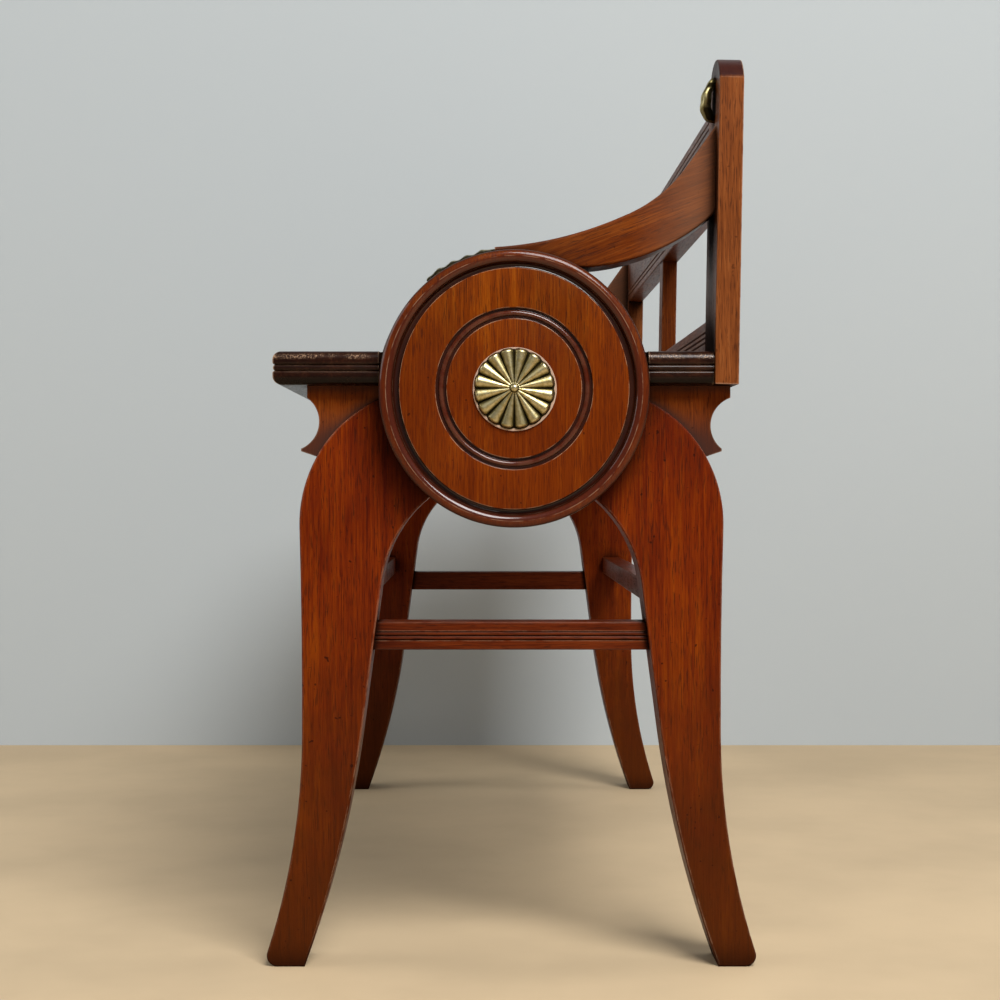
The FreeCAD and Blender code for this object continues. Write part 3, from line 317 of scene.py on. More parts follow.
def polished_wood(name, grain, tone, turn=NO_TURN, wear_and_highlight_depth=0.6, shade_and_grime_depth=0.85, rough=0.24, dents=0.5, sky=0.012,
                  corner=(0.25, 0.85), graded_tints=(), polish=0.04, speckle=0.0, shade_and_dust=SHADE_AND_GRIME):
    """A plank's colour, paler on the arrises with wear and painted highlight, darkened in the corners
    by painted shade and grime, dented here and there.

    Speckle puts pale flecks of wear and painted highlight along the crest of the board's upper reed.
    shade_and_dust is the colour of the painted shade and grime in the corners.
    """
    material, lay = new_finish(name)
    place = own_place(lay)
    colour, pores, fine = wood_colour(lay, place, grain, turn, TONES[tone])
    for stain in graded_tints:
        colour = graded_tint_over(lay, place, colour, stain, TINT_WAVER)
    edge, open_air = edge_masks(lay, ARRIS_REACH, sky)
    patch = plain_noise(lay, place, **PATCHES)
    rubbed_and_highlit = edge.ease(*EDGE_WEAR_AND_HIGHLIGHT) * open_air.ease(*OPEN_WEAR_AND_HIGHLIGHT) * patch.ease(*PATCHY_WEAR_AND_HIGHLIGHT)
    # Pale arrises: wear with a painted highlight.
    colour = (rubbed_and_highlit * wear_and_highlight_depth).over(colour, WORN_AND_HIGHLIGHT)
    level = reach_along(lay, place, UP)
    upper_reed = level.ease(*FLECKS_FROM) * level.ease(*FLECKS_TO)
    flecks = grain_noise(lay, place, grain, turn, **FLECKS).ease(*FLECK_RANGE)
    colour = (flecks * patch.ease(*FLECK_PATCH) * upper_reed * speckle).over(colour, WORN_AND_HIGHLIGHT)
    dings = plain_noise(lay, place, **DINGS).ease(*DING_RANGE)
    scored = grain_noise(lay, place, ACROSS_GRAIN[grain], SCORE_TURN, **SCORES).ease(*SCORE_RANGE)
    dented = lay.sum("MAXIMUM", dings, scored) * dents
    colour = dented.over(colour, PORE)
    height = fine * FIBRE_RELIEF - pores - dented * DENT_RELIEF
    haze = plain_noise(lay, place, **HAZE)
    # Painted shade and grime: darker where less open air reaches, in corners and between parts.
    shaded_and_dirty = 1.0 - open_air.ease(*corner)
    close_finish(lay, matt_shade_and_dirt=(shaded_and_dirty * shade_and_grime_depth, shade_and_dust), Base_Color=colour,
                 Roughness=haze * HAZE_ROUGH + pores * PORE_ROUGH + rough,
                 Specular_IOR_Level=WOOD_SPECULAR, Coat_Weight=polish, Coat_Roughness=POLISH_ROUGH,
                 Normal=relief_of(lay, height, WOOD_BUMP, WOOD_BUMP_DEPTH))
    return material


print(f"a stain's border strays by {TINT_WAVER} of its width")

# %% The woods of the bench
ARM_GRAIN_TURN = (0.36, 0.0, 0.0)
# Painted shade: the legs grow darker towards their feet.
FOOT_SHADE = (UP, 0.34, 0.0, 0.80, (0.050, 0.012, 0.001))
# The brackets grow darker and purplish towards their lower tips.
BEAK_DARKENING = (UP, 0.424, 0.392, 0.88, (0.045, 0.017, 0.012))
# Painted shade and grime: the colour painted in the brackets' corners, along the legs' shoulders.
BRACKET_SHADE = (0.045, 0.021, 0.016)
# The arms grow paler and greyer towards their back ends.
ARM_BACK_PALING = (BACK, 0.085, 0.140, 0.42, (0.185, 0.095, 0.055))
# The arms grow darker towards their front ends.
ARM_FRONT_DARKENING = (BACK, 0.060, -0.010, 0.55, (0.030, 0.008, 0.003))
# Painted shade: the stiles' round tops are dark.
STILE_CAP_SHADE = (UP, 0.6600, 0.6635, 0.92, (0.022, 0.006, 0.006))
# Painted shade: the seat board's lower reed is dark.
LOWER_REED_SHADE = (UP, 0.4420, 0.4380, 0.85, (0.004, 0.0015, 0.001))
# Sky and corner set how far painted shade and grime reach: round the roundels on the legs, and beside the
# arms and bosses on the stiles.
WOODS = {
    "leg": polished_wood("LegMahogany", "Z", "leg", wear_and_highlight_depth=0.8, dents=0.8, sky=0.03, corner=(0.45, 0.90),
                         graded_tints=[FOOT_SHADE]),
    "bracket": polished_wood("BracketMahogany", "Z", "bracket", wear_and_highlight_depth=0.35, shade_and_grime_depth=0.80, sky=0.008,
                             corner=(0.72, 0.97), graded_tints=[BEAK_DARKENING], shade_and_dust=BRACKET_SHADE),
    "arm": polished_wood("ArmMahogany", "Y", "arm", turn=ARM_GRAIN_TURN, sky=0.008, corner=(0.50, 0.95),
                         graded_tints=[ARM_BACK_PALING, ARM_FRONT_DARKENING]),
    "stile": polished_wood("StileMahogany", "Z", "stile", sky=0.06, corner=(0.70, 1.0), shade_and_grime_depth=0.97,
                           graded_tints=[STILE_CAP_SHADE]),
    "slat": polished_wood("SlatMahogany", "Z", "arm"),
    "rail": polished_wood("RailMahogany", "X", "arm"),
    "bar": polished_wood("BarMahogany", "X", "bar"),
    "side_bar": polished_wood("SideBarMahogany", "Y", "bar", wear_and_highlight_depth=0.30, shade_and_grime_depth=0.95, sky=0.006,
                              corner=(0.60, 0.99)),
    "seat": polished_wood("BoardMahogany", "X", "seat", rough=0.18, wear_and_highlight_depth=0.8, polish=0.18, speckle=0.6,
                          graded_tints=[LOWER_REED_SHADE]),
}
print("woods:", sorted(WOODS))

# %% [markdown]
# ## Which plank each piece is cut from
# Grain follows the length of a piece, because a joiner saws it so for strength: upright in legs and
# stiles, lengthwise in rails and stretchers, and along the sweep of the arms.

# %% Dress the joinery
PLANKS = {
    "leg": [f"leg_{side}_{end}" for side in ("front", "back") for end, _ in ENDS],
    "bracket": [f"bracket_{side}_{end}" for side in ("front", "back") for end, _ in ENDS],
    "arm": [f"arm_{end}" for end, _ in ENDS],
    "stile": [f"back_stile_{end}" for end, _ in ENDS],
    "slat": ["centre_slat"],
    "rail": ["top_rail", "bottom_rail"],
    "bar": ["front_stretcher", "back_stretcher", "front_seat_rail", "back_seat_rail"],
    "side_bar": [f"{kind}_{end}" for kind in ("side_stretcher", "end_rail") for end, _ in ENDS],
    "seat": ["seat_board"],
}


def dress(node_name, material):
    """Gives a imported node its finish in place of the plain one."""
    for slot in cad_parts[node_name].material_slots:
        slot.material = material


for plank, node_names in PLANKS.items():
    for node_name in node_names:
        dress(node_name, WOODS[plank])
print("dressed planks:", sum(len(names) for names in PLANKS.values()))

# %% [markdown]
# ## Secondary wood, steel and brass
# The dowels and glue blocks are bare beech, paler and without polish. The screws are dull steel. The
# mounts are old cast brass: gold where it is rubbed, olive and nearly black in the hollows. Tarnish could
# be painted on by hand. Here each mount carries a mask of its own hollows, so tarnish follows the casting.

# %% Beech and steel
BEECH_TONE = {"dark": (0.30, 0.18, 0.09), "mid": (0.45, 0.30, 0.17), "light": (0.56, 0.40, 0.25)}
BEECH_ROUGH, BEECH_ROUGH_SPREAD = 0.55, 0.2
STEEL_DARK, STEEL_LIGHT = (0.20, 0.19, 0.18), (0.42, 0.41, 0.39)
STEEL_MOTTLE = {"size": 0.0012, "detail": 3.0}
STEEL_ROUGH, STEEL_ROUGH_SPREAD = 0.30, 0.3
MOTTLE_RANGE = (0.3, 0.7)


def bare_beech(name, grain):
    """Pale wood with fine flecks and no polish."""
    material, lay = new_finish(name)
    colour, _, fine = wood_colour(lay, own_place(lay), grain, NO_TURN, BEECH_TONE)
    close_finish(lay, Base_Color=colour, Roughness=fine * BEECH_ROUGH_SPREAD + BEECH_ROUGH)
    return material


def dull_steel(name):
    """Grey metal with a mottled sheen."""
    material, lay = new_finish(name)
    mottle = plain_noise(lay, own_place(lay), **STEEL_MOTTLE)
    close_finish(lay, Base_Color=mottle.ease(*MOTTLE_RANGE).over(STEEL_DARK, STEEL_LIGHT), Metallic=1.0,
                 Roughness=mottle * STEEL_ROUGH_SPREAD + STEEL_ROUGH)
    return material


BEECH = bare_beech("Beech", "X")
STEEL = dull_steel("ScrewSteel")
print("made", BEECH.name, "and", STEEL.name)

# %% Brass
BRASS_RUBBED = (0.54, 0.47, 0.27)
BRASS_DULL = (0.38, 0.30, 0.12)
BRASS_OLIVE = (0.20, 0.165, 0.06)
BRASS_TARNISH = (0.020, 0.015, 0.006)
POLISH_CHALK = (0.42, 0.28, 0.20)
BRASS_MOTTLE = {"size": 0.0035, "detail": 4.0}
BRASS_PITS = {"size": 0.0008, "detail": 2.0, "shift": 0.3}
BRASS_BUMP, BRASS_BUMP_DEPTH = 0.10, 0.1 * MM
BRASS_ROUGH, BRASS_ROUGH_SPREAD = 0.26, 0.24
DULL_RANGE = (0.38, 0.70)
STAIN_STRAY, CHALK_STRAY = 0.3, 0.5
OLIVE_RANGE, OLIVE_DEPTH = (0.02, 0.42), 0.8
TARNISH_RANGE, TARNISH_ROUGH = (0.40, 0.74), 0.25
CHALK_RANGE, CHALK_ROUGH, CHALK_DULLS = (0.35, 0.65), 0.45, 0.9


def old_brass(name, masked=True):
    """Brass rubbed bright on the high places, olive and then black in the recesses, chalky at its edge."""
    material, lay = new_finish(name)
    place = own_place(lay)
    mottle = plain_noise(lay, place, **BRASS_MOTTLE)
    colour = mottle.ease(*DULL_RANGE).over(BRASS_RUBBED, BRASS_DULL)
    rough = mottle * BRASS_ROUGH_SPREAD + BRASS_ROUGH
    metal = 1.0
    if masked:
        stain = mesh_mask(lay, "recess") + (mottle - NOISE_MEAN) * STAIN_STRAY
        colour = (stain.ease(*OLIVE_RANGE) * OLIVE_DEPTH).over(colour, BRASS_OLIVE)
        tarnish = stain.ease(*TARNISH_RANGE)
        colour = tarnish.over(colour, BRASS_TARNISH)
        dusty = (mesh_mask(lay, "chalk") + (mottle - NOISE_MEAN) * CHALK_STRAY).ease(*CHALK_RANGE)
        colour = dusty.over(colour, POLISH_CHALK)
        rough = rough + tarnish * TARNISH_ROUGH + dusty * CHALK_ROUGH
        metal = 1.0 - dusty * CHALK_DULLS
    relief = relief_of(lay, plain_noise(lay, place, **BRASS_PITS), BRASS_BUMP, BRASS_BUMP_DEPTH)
    close_finish(lay, Base_Color=colour, Metallic=metal, Roughness=rough, Normal=relief)
    return material


HARDWARE = {
    ("seat_screws", "roundel_screws", "stile_screws"): STEEL,
    ("dowels", "glue_blocks"): BEECH,
    ("mount_pins",): old_brass("PinBrass", masked=False),
}
for node_names, material in HARDWARE.items():
    for node_name in node_names:
        dress(node_name, material)
print("dressed hardware:", sum(len(names) for names in HARDWARE))

# %% [markdown]
# ## Surfaces from arrays
# A new piece is a grid of points worked out all at once with numpy. Rows run out from a middle, columns
# run round it. The first and the last row are pinched to a point, which closes the surface.

# %% Grid to mesh
def ring_mesh(name, grid, reverse, attributes):
    """A closed surface from a grid (rows, columns, 3) whose columns run round and meet.

    The first and last rows are each replaced by their mean, so both ends are single points with a fan
    of triangles; the rest are quads.
    """
    body = grid[1:-1].reshape(-1, 3)
    points = np.vstack([body, grid[0].mean(axis=0), grid[-1].mean(axis=0)])
    first_pole, last_pole = len(body), len(body) + 1
    columns = grid.shape[1]
    near = np.arange(columns)
    after = np.roll(near, -1)
    last = len(body) - columns
    this = np.arange(0, last, columns)[:, None]
    following = this + columns
    quads = np.stack([this + near, this + after, following + after, following + near], axis=-1)
    fan = np.stack([np.full(columns, first_pole), after, near], axis=-1)
    tail = np.stack([last + near, last + after, np.full(columns, last_pole)], axis=-1)
    faces = quads.reshape(-1, 4).tolist() + fan.tolist() + tail.tolist()
    if reverse:
        faces = [face[::-1] for face in faces]
    mesh = bpy.data.meshes.new(name)
    mesh.from_pydata(points, [], faces)
    mesh.polygons.foreach_set("use_smooth", np.ones(len(faces), dtype=bool))
    for key, values in attributes.items():
        on_points = np.append(values[1:-1].reshape(-1), [values[0].mean(), values[-1].mean()])
        store = mesh.attributes.new(key, "FLOAT", "POINT")
        store.data.foreach_set("value", on_points.astype(np.float32))
    mesh.update()
    return mesh


def new_piece(name, mesh, material, node_name):
    """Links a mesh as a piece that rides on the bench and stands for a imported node."""
    piece = bpy.data.objects.new(name, mesh)
    bpy.context.scene.collection.objects.link(piece)
    mesh.materials.append(material)
    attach(piece, "root")
    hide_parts(node_name)
    print(f"{name}: {len(mesh.polygons)} faces")


print("mesh helpers ready")

# %% [markdown]
# ## The turned roundels
# A roundel is turned on a lathe, so it is one profile carried round a circle: a fat bead at the rim, a
# hollow, a flat field, and a bead sunk between two grooves. A turner's arris is never razor sharp after
# a century of polish, so each corner of the profile is bent over a small curve. A Screw modifier could
# spin it too, but as an array the same profile also says where the polish has worn through, with a
# painted highlight on its arrises, and where painted shade and dirt darken its recesses.

# %% Lines of a profile
CORNER_STEPS = 5
ARC_STEPS = 13
MOST_OF_SIDE = 0.45


def bulge(start, end, rise):
    """Points of a circular arc from start to end that stands off the chord by rise, to its left."""
    start, end = np.array(start), np.array(end)
    chord = end - start
    half = np.linalg.norm(chord) / 2
    radius = (half ** 2 + rise ** 2) / (2 * rise)
    side = np.array([-chord[1], chord[0]]) / (2 * half)
    centre = (start + end) / 2 + side * (rise - radius)
    sweep = np.arcsin(half / abs(radius)) * np.linspace(-1, 1, ARC_STEPS)
    along = chord / (2 * half)
    return centre + abs(radius) * np.outer(np.sin(sweep), along) + radius * np.outer(np.cos(sweep), side)


def soften(corners, radius):
    """Bends every inner corner of a line over a parabola that starts and ends a radius away from it."""
    middle, before, after = corners[1:-1], corners[:-2], corners[2:]
    back, on = before - middle, after - middle
    back_length = np.linalg.norm(back, axis=1, keepdims=True)
    on_length = np.linalg.norm(on, axis=1, keepdims=True)
    first = middle + back / back_length * np.minimum(radius, back_length * MOST_OF_SIDE)
    last = middle + on / on_length * np.minimum(radius, on_length * MOST_OF_SIDE)
    share = np.linspace(0, 1, CORNER_STEPS)[None, :, None]
    curve = ((1 - share) ** 2 * first[:, None] + 2 * share * (1 - share) * middle[:, None]
             + share ** 2 * last[:, None])
    return np.vstack([corners[:1], curve.reshape(-1, 2), corners[-1:]])


print(f"an arc has {ARC_STEPS} points, and a softened corner {CORNER_STEPS}")

# %% Roundel profile
RIM_FLAT, BEAD_RISE = 25.0 * MM, 3.0 * MM
BEAD_INNER, FIELD_EDGE = 90.4 * MM, 86.4 * MM
HOLLOW_FLOOR, HOLLOW_DEPTH = 23.4 * MM, 1.5 * MM
FIELD = 26.5 * MM
RING_OUTER, RING_INNER = 58.0 * MM, 50.0 * MM
RING_BEAD_OUTER, RING_BEAD_INNER = 56.0 * MM, 52.0 * MM
RING_BED, RING_RISE = 24.3 * MM, 1.7 * MM
ARRIS = 0.55 * MM


def roundel_profile():
    """Pairs of radius and height over the leg, from the middle of the face out, round and under the rim."""
    ring_bead = bulge((RING_BEAD_INNER, RING_BED), (RING_BEAD_OUTER, RING_BED), RING_RISE)
    hollow = bulge((FIELD_EDGE, HOLLOW_FLOOR), (BEAD_INNER, RIM_FLAT), -HOLLOW_DEPTH)
    rim_bead = bulge((BEAD_INNER, RIM_FLAT), (ROUNDEL_RADIUS, RIM_FLAT), BEAD_RISE)
    corners = np.vstack([
        [(0.0, FIELD), (RING_INNER, FIELD), (RING_INNER, RING_BED)], ring_bead,
        [(RING_OUTER, RING_BED), (RING_OUTER, FIELD), (FIELD_EDGE, FIELD)], hollow, rim_bead[1:],
        [(ROUNDEL_RADIUS, 0.0), (0.0, 0.0)]])
    return soften(corners, ARRIS)


PROFILE = roundel_profile()
print("roundel profile points:", len(PROFILE))

# %% Wear and painted highlight, painted shade and dirt, and stain of the profile
LEAST_STEP, WEAR_RADIUS = 0.05 * MM, 0.9 * MM
SHADE_AND_DIRT_REACH, SHADE_AND_DIRT_DEPTH = 3.2 * MM, 2.4 * MM
CREST, CREST_WIDTH, CREST_WEAR_AND_HIGHLIGHT = 94.8 * MM, 0.45 * MM, 0.75
RIM_FADE, OUTER_SIDE_BARE = 0.6 * MM, 0.45


def wear_highlight_shade_and_dirt(profile):
    """How worn each point of a profile is, and how much painted shade and dirt it takes.

    Wear, with its painted highlight, is the turn of the line at a point where it bends outwards. The
    painted shade and dirt is how far a point lies below the highest point within a few millimetres of it.
    """
    step = np.gradient(profile, axis=0)
    heading = np.unwrap(np.arctan2(step[:, 1], step[:, 0]))
    turn = -np.gradient(heading) / np.maximum(np.linalg.norm(step, axis=1), LEAST_STEP)
    wear = np.clip(turn * WEAR_RADIUS, 0, 1)
    reach = np.abs(profile[:, None, 0] - profile[None, :, 0]) < SHADE_AND_DIRT_REACH
    roof = np.where(reach, profile[None, :, 1], -np.inf).max(axis=1)
    dirt = np.clip((roof - profile[:, 1]) / SHADE_AND_DIRT_DEPTH, 0, 1)
    return wear, dirt


def profile_masks(profile):
    """Wear and painted highlight, painted shade and dirt, and dark stain at each point of a profile.

    The stain covers the rim and the sunk ring, and has partly gone from the rim's outer side. The rim's
    crest has a narrow pale line of wear and painted highlight.
    """
    radius, height = profile.T
    wear, dirt = wear_highlight_shade_and_dirt(profile)
    inside_ring = np.minimum(radius - RING_INNER, RING_OUTER - radius)
    rim = np.clip(np.maximum(radius - FIELD_EDGE, inside_ring) / RIM_FADE, 0, 1)
    past_crest = np.clip((radius - CREST) / CREST_WIDTH, 0, 1)
    on_crest = np.exp(-((radius - CREST) / CREST_WIDTH) ** 2) * (height > RIM_FLAT)
    return {"wear": np.maximum(wear, on_crest * CREST_WEAR_AND_HIGHLIGHT), "dirt": dirt,
            "rim": rim * (1 - OUTER_SIDE_BARE * past_crest)}


PROFILE_MASKS = profile_masks(PROFILE)
print("mean of each mask:", {key: round(float(mask.mean()), 2) for key, mask in PROFILE_MASKS.items()})

# %% Roundel finish
RIM_BROWN, RIM_DEPTH = (0.045, 0.006, 0.002), 0.82
# Painted shade: the roundel's field is darker from mid height down.
FIELD_SHADE = (UP, 0.505, 0.425, 0.35, (0.100, 0.010, 0.001))
FIELD_SHADE_WAVER = 0.0
ROUNDEL_PATCHES = {"size": 0.010, "detail": 3.0, "shift": 0.41}
ROUNDEL_SHADE_AND_DIRT, ROUNDEL_SHADE_AND_DIRT_DEPTH = (0.30, 1.0), 0.70
ROUNDEL_WEAR_AND_HIGHLIGHT, ROUNDEL_PATCH, ROUNDEL_WEAR_AND_HIGHLIGHT_DEPTH = (0.35, 0.9), (0.36, 0.60), 0.50
ROUNDEL_DINGS, ROUNDEL_DING_DEPTH = (0.775, 0.81), 0.7
ROUNDEL_BUMP, ROUNDEL_BUMP_DEPTH = 0.18, 0.25 * MM
ROUNDEL_ROUGH, ROUNDEL_HAZE, ROUNDEL_PORES = 0.22, 0.20, 0.12
RIM_POLISH, FIELD_POLISH, ROUNDEL_POLISH_ROUGH = 0.60, 0.04, 0.08


def roundel_wood(name):
    """Mahogany with upright grain whose wear and painted highlight, painted shade and dirt, and stain come
    from the turned profile.
    """
    material, lay = new_finish(name)
    place = own_place(lay)
    colour, pores, fine = wood_colour(lay, place, "Z", NO_TURN, TONES["field"])
    colour = graded_tint_over(lay, place, colour, FIELD_SHADE, FIELD_SHADE_WAVER)
    rim = mesh_mask(lay, "rim")
    colour = (rim * RIM_DEPTH).over(colour, RIM_BROWN)
    # Painted shade and dirt, darkest deep in the profile's recesses.
    dirt = mesh_mask(lay, "dirt").ease(*ROUNDEL_SHADE_AND_DIRT)
    colour = (dirt * ROUNDEL_SHADE_AND_DIRT_DEPTH).over(colour, SHADE_AND_GRIME)
    patch = plain_noise(lay, place, **ROUNDEL_PATCHES).ease(*ROUNDEL_PATCH)
    # Pale arrises and the rim's crest line: wear with a painted highlight.
    wear = mesh_mask(lay, "wear").ease(*ROUNDEL_WEAR_AND_HIGHLIGHT)
    colour = (wear * patch * ROUNDEL_WEAR_AND_HIGHLIGHT_DEPTH).over(colour, WORN_AND_HIGHLIGHT)
    dented = plain_noise(lay, place, **DINGS).ease(*ROUNDEL_DINGS)
    colour = (dented * ROUNDEL_DING_DEPTH).over(colour, PORE)
    haze = plain_noise(lay, place, **HAZE)
    height = fine * FIBRE_RELIEF - pores - dented
    close_finish(lay, Base_Color=colour,
                 Roughness=haze * ROUNDEL_HAZE + pores * ROUNDEL_PORES + ROUNDEL_ROUGH,
                 Specular_IOR_Level=WOOD_SPECULAR, Coat_Weight=rim * RIM_POLISH + FIELD_POLISH,
                 Coat_Roughness=ROUNDEL_POLISH_ROUGH,
                 Normal=relief_of(lay, height, ROUNDEL_BUMP, ROUNDEL_BUMP_DEPTH))
    return material


ROUNDEL_WOOD = roundel_wood("RoundelMahogany")
print("made", ROUNDEL_WOOD.name)

# %% Spin the profile
ROUNDEL_TURNS = 320
KEPT_UPRIGHT = 1.026
SHRUNK_RADII = (0.0, RING_OUTER, FIELD_EDGE, BEAD_INNER, ROUNDEL_RADIUS)
SHRUNK_ACROSS = (0.995, 0.995, 0.977, 0.988, 1.0)


def spun(profile, turns):
    """Carries pairs of radius and height round the X axis: y and z from the radius, x from the height."""
    angle = np.linspace(0, 2 * np.pi, turns, endpoint=False)
    radius, height = profile[:, :1], profile[:, 1:]
    around = radius * np.ones(turns)
    return np.stack([height * np.ones(turns), around * np.cos(angle), around * np.sin(angle)], axis=-1)


def on_end(grid, end, foot):
    """Moves a grid made round the X axis to one end of the bench, and turns it outwards there."""
    out, along, up = np.moveaxis(grid, -1, 0)
    return np.stack([end * (out + foot), ROUNDEL_Y + along, ROUNDEL_Z + up], axis=-1)


def shrunk(grid, profile):
    """An old disc is narrower across its upright grain: how much depends on the radius of each row."""
    across = np.interp(profile[:, 0], SHRUNK_RADII, SHRUNK_ACROSS)[:, None]
    return np.stack([grid[..., 0], grid[..., 1] * across, grid[..., 2] * KEPT_UPRIGHT], axis=-1)


disc = shrunk(spun(PROFILE, ROUNDEL_TURNS), PROFILE)
masks = {key: np.repeat(mask[:, None], ROUNDEL_TURNS, axis=1) for key, mask in PROFILE_MASKS.items()}
for end_name, end in ENDS:
    mesh = ring_mesh(f"TurnedRoundel_{end_name}", on_end(disc, end, LEG_FACE), end < 0, masks)
    new_piece(f"TurnedRoundel_{end_name}", mesh, ROUNDEL_WOOD, f"roundel_{end_name}")

# %% [markdown]
# ## The gadrooned rosettes
# Each rosette is cast brass: a thin plate, a ring of swelling petals that narrow to the middle, and a
# ball. Seen from the front it is a height over a disc, so the surface is a height at each radius and
# angle. A petal is a round back over a straight line that falls from the middle to the rim. One petal
# could be modelled and copied round, but the formula also tells how deep in a groove each point lies.

# %% Rosette petals
PETALS = 16
ROSETTE_RADIUS, PLATE = 30.7 * MM, 1.3 * MM
PETAL_START, PETAL_END = 4.2 * MM, 27.0 * MM
START_FLOOR, START_BACK, END_BACK = 5.0 * MM, 0.82 * MM, 5.05 * MM
TIP_BLUNT = 1.9
FULLNESS = 1.9
BACK_HEIGHT = 0.80


def petal_height(radius, angle):
    """The height of a ring of petals at each radius and angle, and how deep in a groove each point lies.

    The floor and the petal's own radius both change evenly from its start to its end; past the end the
    petal closes in a blunt tip. The back is nearly a circle over the distance from the petal's middle
    line, a little lower than it is wide.
    """
    pitch = 2 * np.pi / PETALS
    offset = angle % pitch - pitch / 2
    share = np.clip((radius - PETAL_START) / (PETAL_END - PETAL_START), 0, 1)
    floor = START_FLOOR + share * (PLATE - START_FLOOR)
    back = START_BACK + share * (END_BACK - START_BACK)
    aside = radius * np.sin(offset)
    past = np.maximum(radius * np.cos(offset) - PETAL_END, 0) * TIP_BLUNT
    away = np.sqrt(aside ** 2 + past ** 2)
    rise = np.maximum(1 - (away / back) ** FULLNESS, 0) ** (1 / FULLNESS)
    return floor + rise * back * BACK_HEIGHT, 1 - rise


end_height, _ = petal_height(PETAL_END, np.pi / PETALS)
print(f"a petal is {end_height / MM:.1f} mm high at its end")

# %% Rosette relief
PETAL_COLUMNS = 26
BALL_ROWS, PETAL_ROWS = 18, 78
BALL_CROWDING, FIRST_PETAL_ROW = 0.7, 0.012
BALL_RADIUS, BALL_LIFT = 3.3 * MM, 6.3 * MM
BALL_GROOVE_SLOPE, BALL_GROOVE_START = 2.2, 1.4
NOTCH, NOTCH_SHARPNESS = 0.9 * MM, 6
CHALK_WIDTH = 0.5 * MM
PLATE_SLIP = (0.4 * MM, -0.6 * MM)
CLOSING_ROWS = 2


def pad_rows(mask):
    """Repeats the last row of a mask for the rows that close the back."""
    return np.vstack([mask, np.repeat(mask[-1:], CLOSING_ROWS, axis=0)])


def rosette_grid():
    """Rows from the middle of the ball out to the rim, and back under the plate."""
    ball_out = np.linspace(0, 1, BALL_ROWS) ** BALL_CROWDING * BALL_RADIUS
    petals_out = BALL_RADIUS + np.linspace(FIRST_PETAL_ROW, 1, PETAL_ROWS) * (ROSETTE_RADIUS - BALL_RADIUS)
    angle = np.linspace(0, 2 * np.pi, PETALS * PETAL_COLUMNS, endpoint=False)
    radius = np.concatenate([ball_out, petals_out])[:, None] * np.ones(len(angle))
    height, groove = petal_height(radius, angle[None, :])
    ball = BALL_LIFT + np.sqrt(np.maximum(BALL_RADIUS ** 2 - radius ** 2, 0))
    ball_groove = np.clip(radius / BALL_RADIUS * BALL_GROOVE_SLOPE - BALL_GROOVE_START, 0, 1)
    on_ball = radius <= BALL_RADIUS
    height = np.where(on_ball, ball, height)
    notch = NOTCH * np.abs(np.cos(angle * PETALS / 2)) ** NOTCH_SHARPNESS
    tip = PETAL_END + END_BACK / TIP_BLUNT - notch
    chalk = np.clip((radius - tip) / CHALK_WIDTH, 0, 1)
    groove = np.where(on_ball, ball_groove, groove) * (1 - chalk)
    slip_y, slip_z = (slip * chalk for slip in PLATE_SLIP)
    face = np.stack([height, radius * np.cos(angle) + slip_y, radius * np.sin(angle) + slip_z], axis=-1)
    under = face[-1:] * np.array([0.0, 1.0, 1.0])
    rows = np.vstack([face, under, np.zeros_like(under)])
    return rows, {"recess": pad_rows(groove), "chalk": pad_rows(chalk)}


OLD_BRASS = old_brass("MountBrass")
relief, masks = rosette_grid()
for end_name, end in ENDS:
    mesh = ring_mesh(f"GadroonRosette_{end_name}", on_end(relief, end, LEG_FACE + FIELD), end < 0, masks)
    new_piece(f"GadroonRosette_{end_name}", mesh, OLD_BRASS, f"rosette_{end_name}")

# %% [markdown]
# ## The leaf bosses on the stiles
# A cast leaf stands near the top of each stile. It is a grid up the leaf and across it: ribs fan out
# from a point at its foot, and the edge is scalloped where they end. A small button sits near the foot.
# The leaf bows forward, so that only its foot and its tip touch the wood. It could be sculpted by hand,
# but a formula makes both leaves alike and puts the tarnish between the ribs.

# %% Plates with a face and a back
def dip(depth, wave):
    """1 where a wave is 1, and lower by the depth where it is 0."""
    return 1 - depth + depth * wave


def plated(face, back, hollow):
    """A closed tube from two grids of the same shape: the face, then the back the other way across.

    The hollows of the face become its recess mask. A plate has no chalky edge.
    """
    loop = np.concatenate([face, back[:, ::-1]], axis=1)
    both = np.concatenate([hollow, hollow[:, ::-1]], axis=1)
    grid, recess = (np.concatenate([rows[:1], rows, rows[-1:]]) for rows in (loop, both))
    return grid, {"recess": recess, "chalk": np.zeros_like(recess)}


print("plate helpers ready")

# %% Stile bosses
LEAF_ROWS, LEAF_COLUMNS = 90, 73
LEAF_RISE, LEAF_EDGE, LEAF_THICK = 10.0 * MM, 0.8 * MM, 5.0 * MM
LEAF_SLIM, OVAL_POWER = 0.50, 0.8
RIBS, FAN_FOOT = 7, 0.22
RIB_POWER, RIB_SCALLOP, FURROW = 0.5, 0.11, 0.18
SWELL_SKEW, SWELL_POWER = 0.75, 0.6
SECTION_POWER, SECTION_DEPTH = 2.6, 0.20
LUMPS, LUMP_DEPTH = 3.2, 0.035
BUTTON_UP, BUTTON_LENGTH, BUTTON_WIDTH, BUTTON_HEIGHT = 0.10, 0.07, 0.22, 0.62
FURROW_STAIN, LEAST_STAIN, BUTTON_RUBBED = 1.30, 0.22, 0.4
BACK_LEAN = np.radians(1.0)


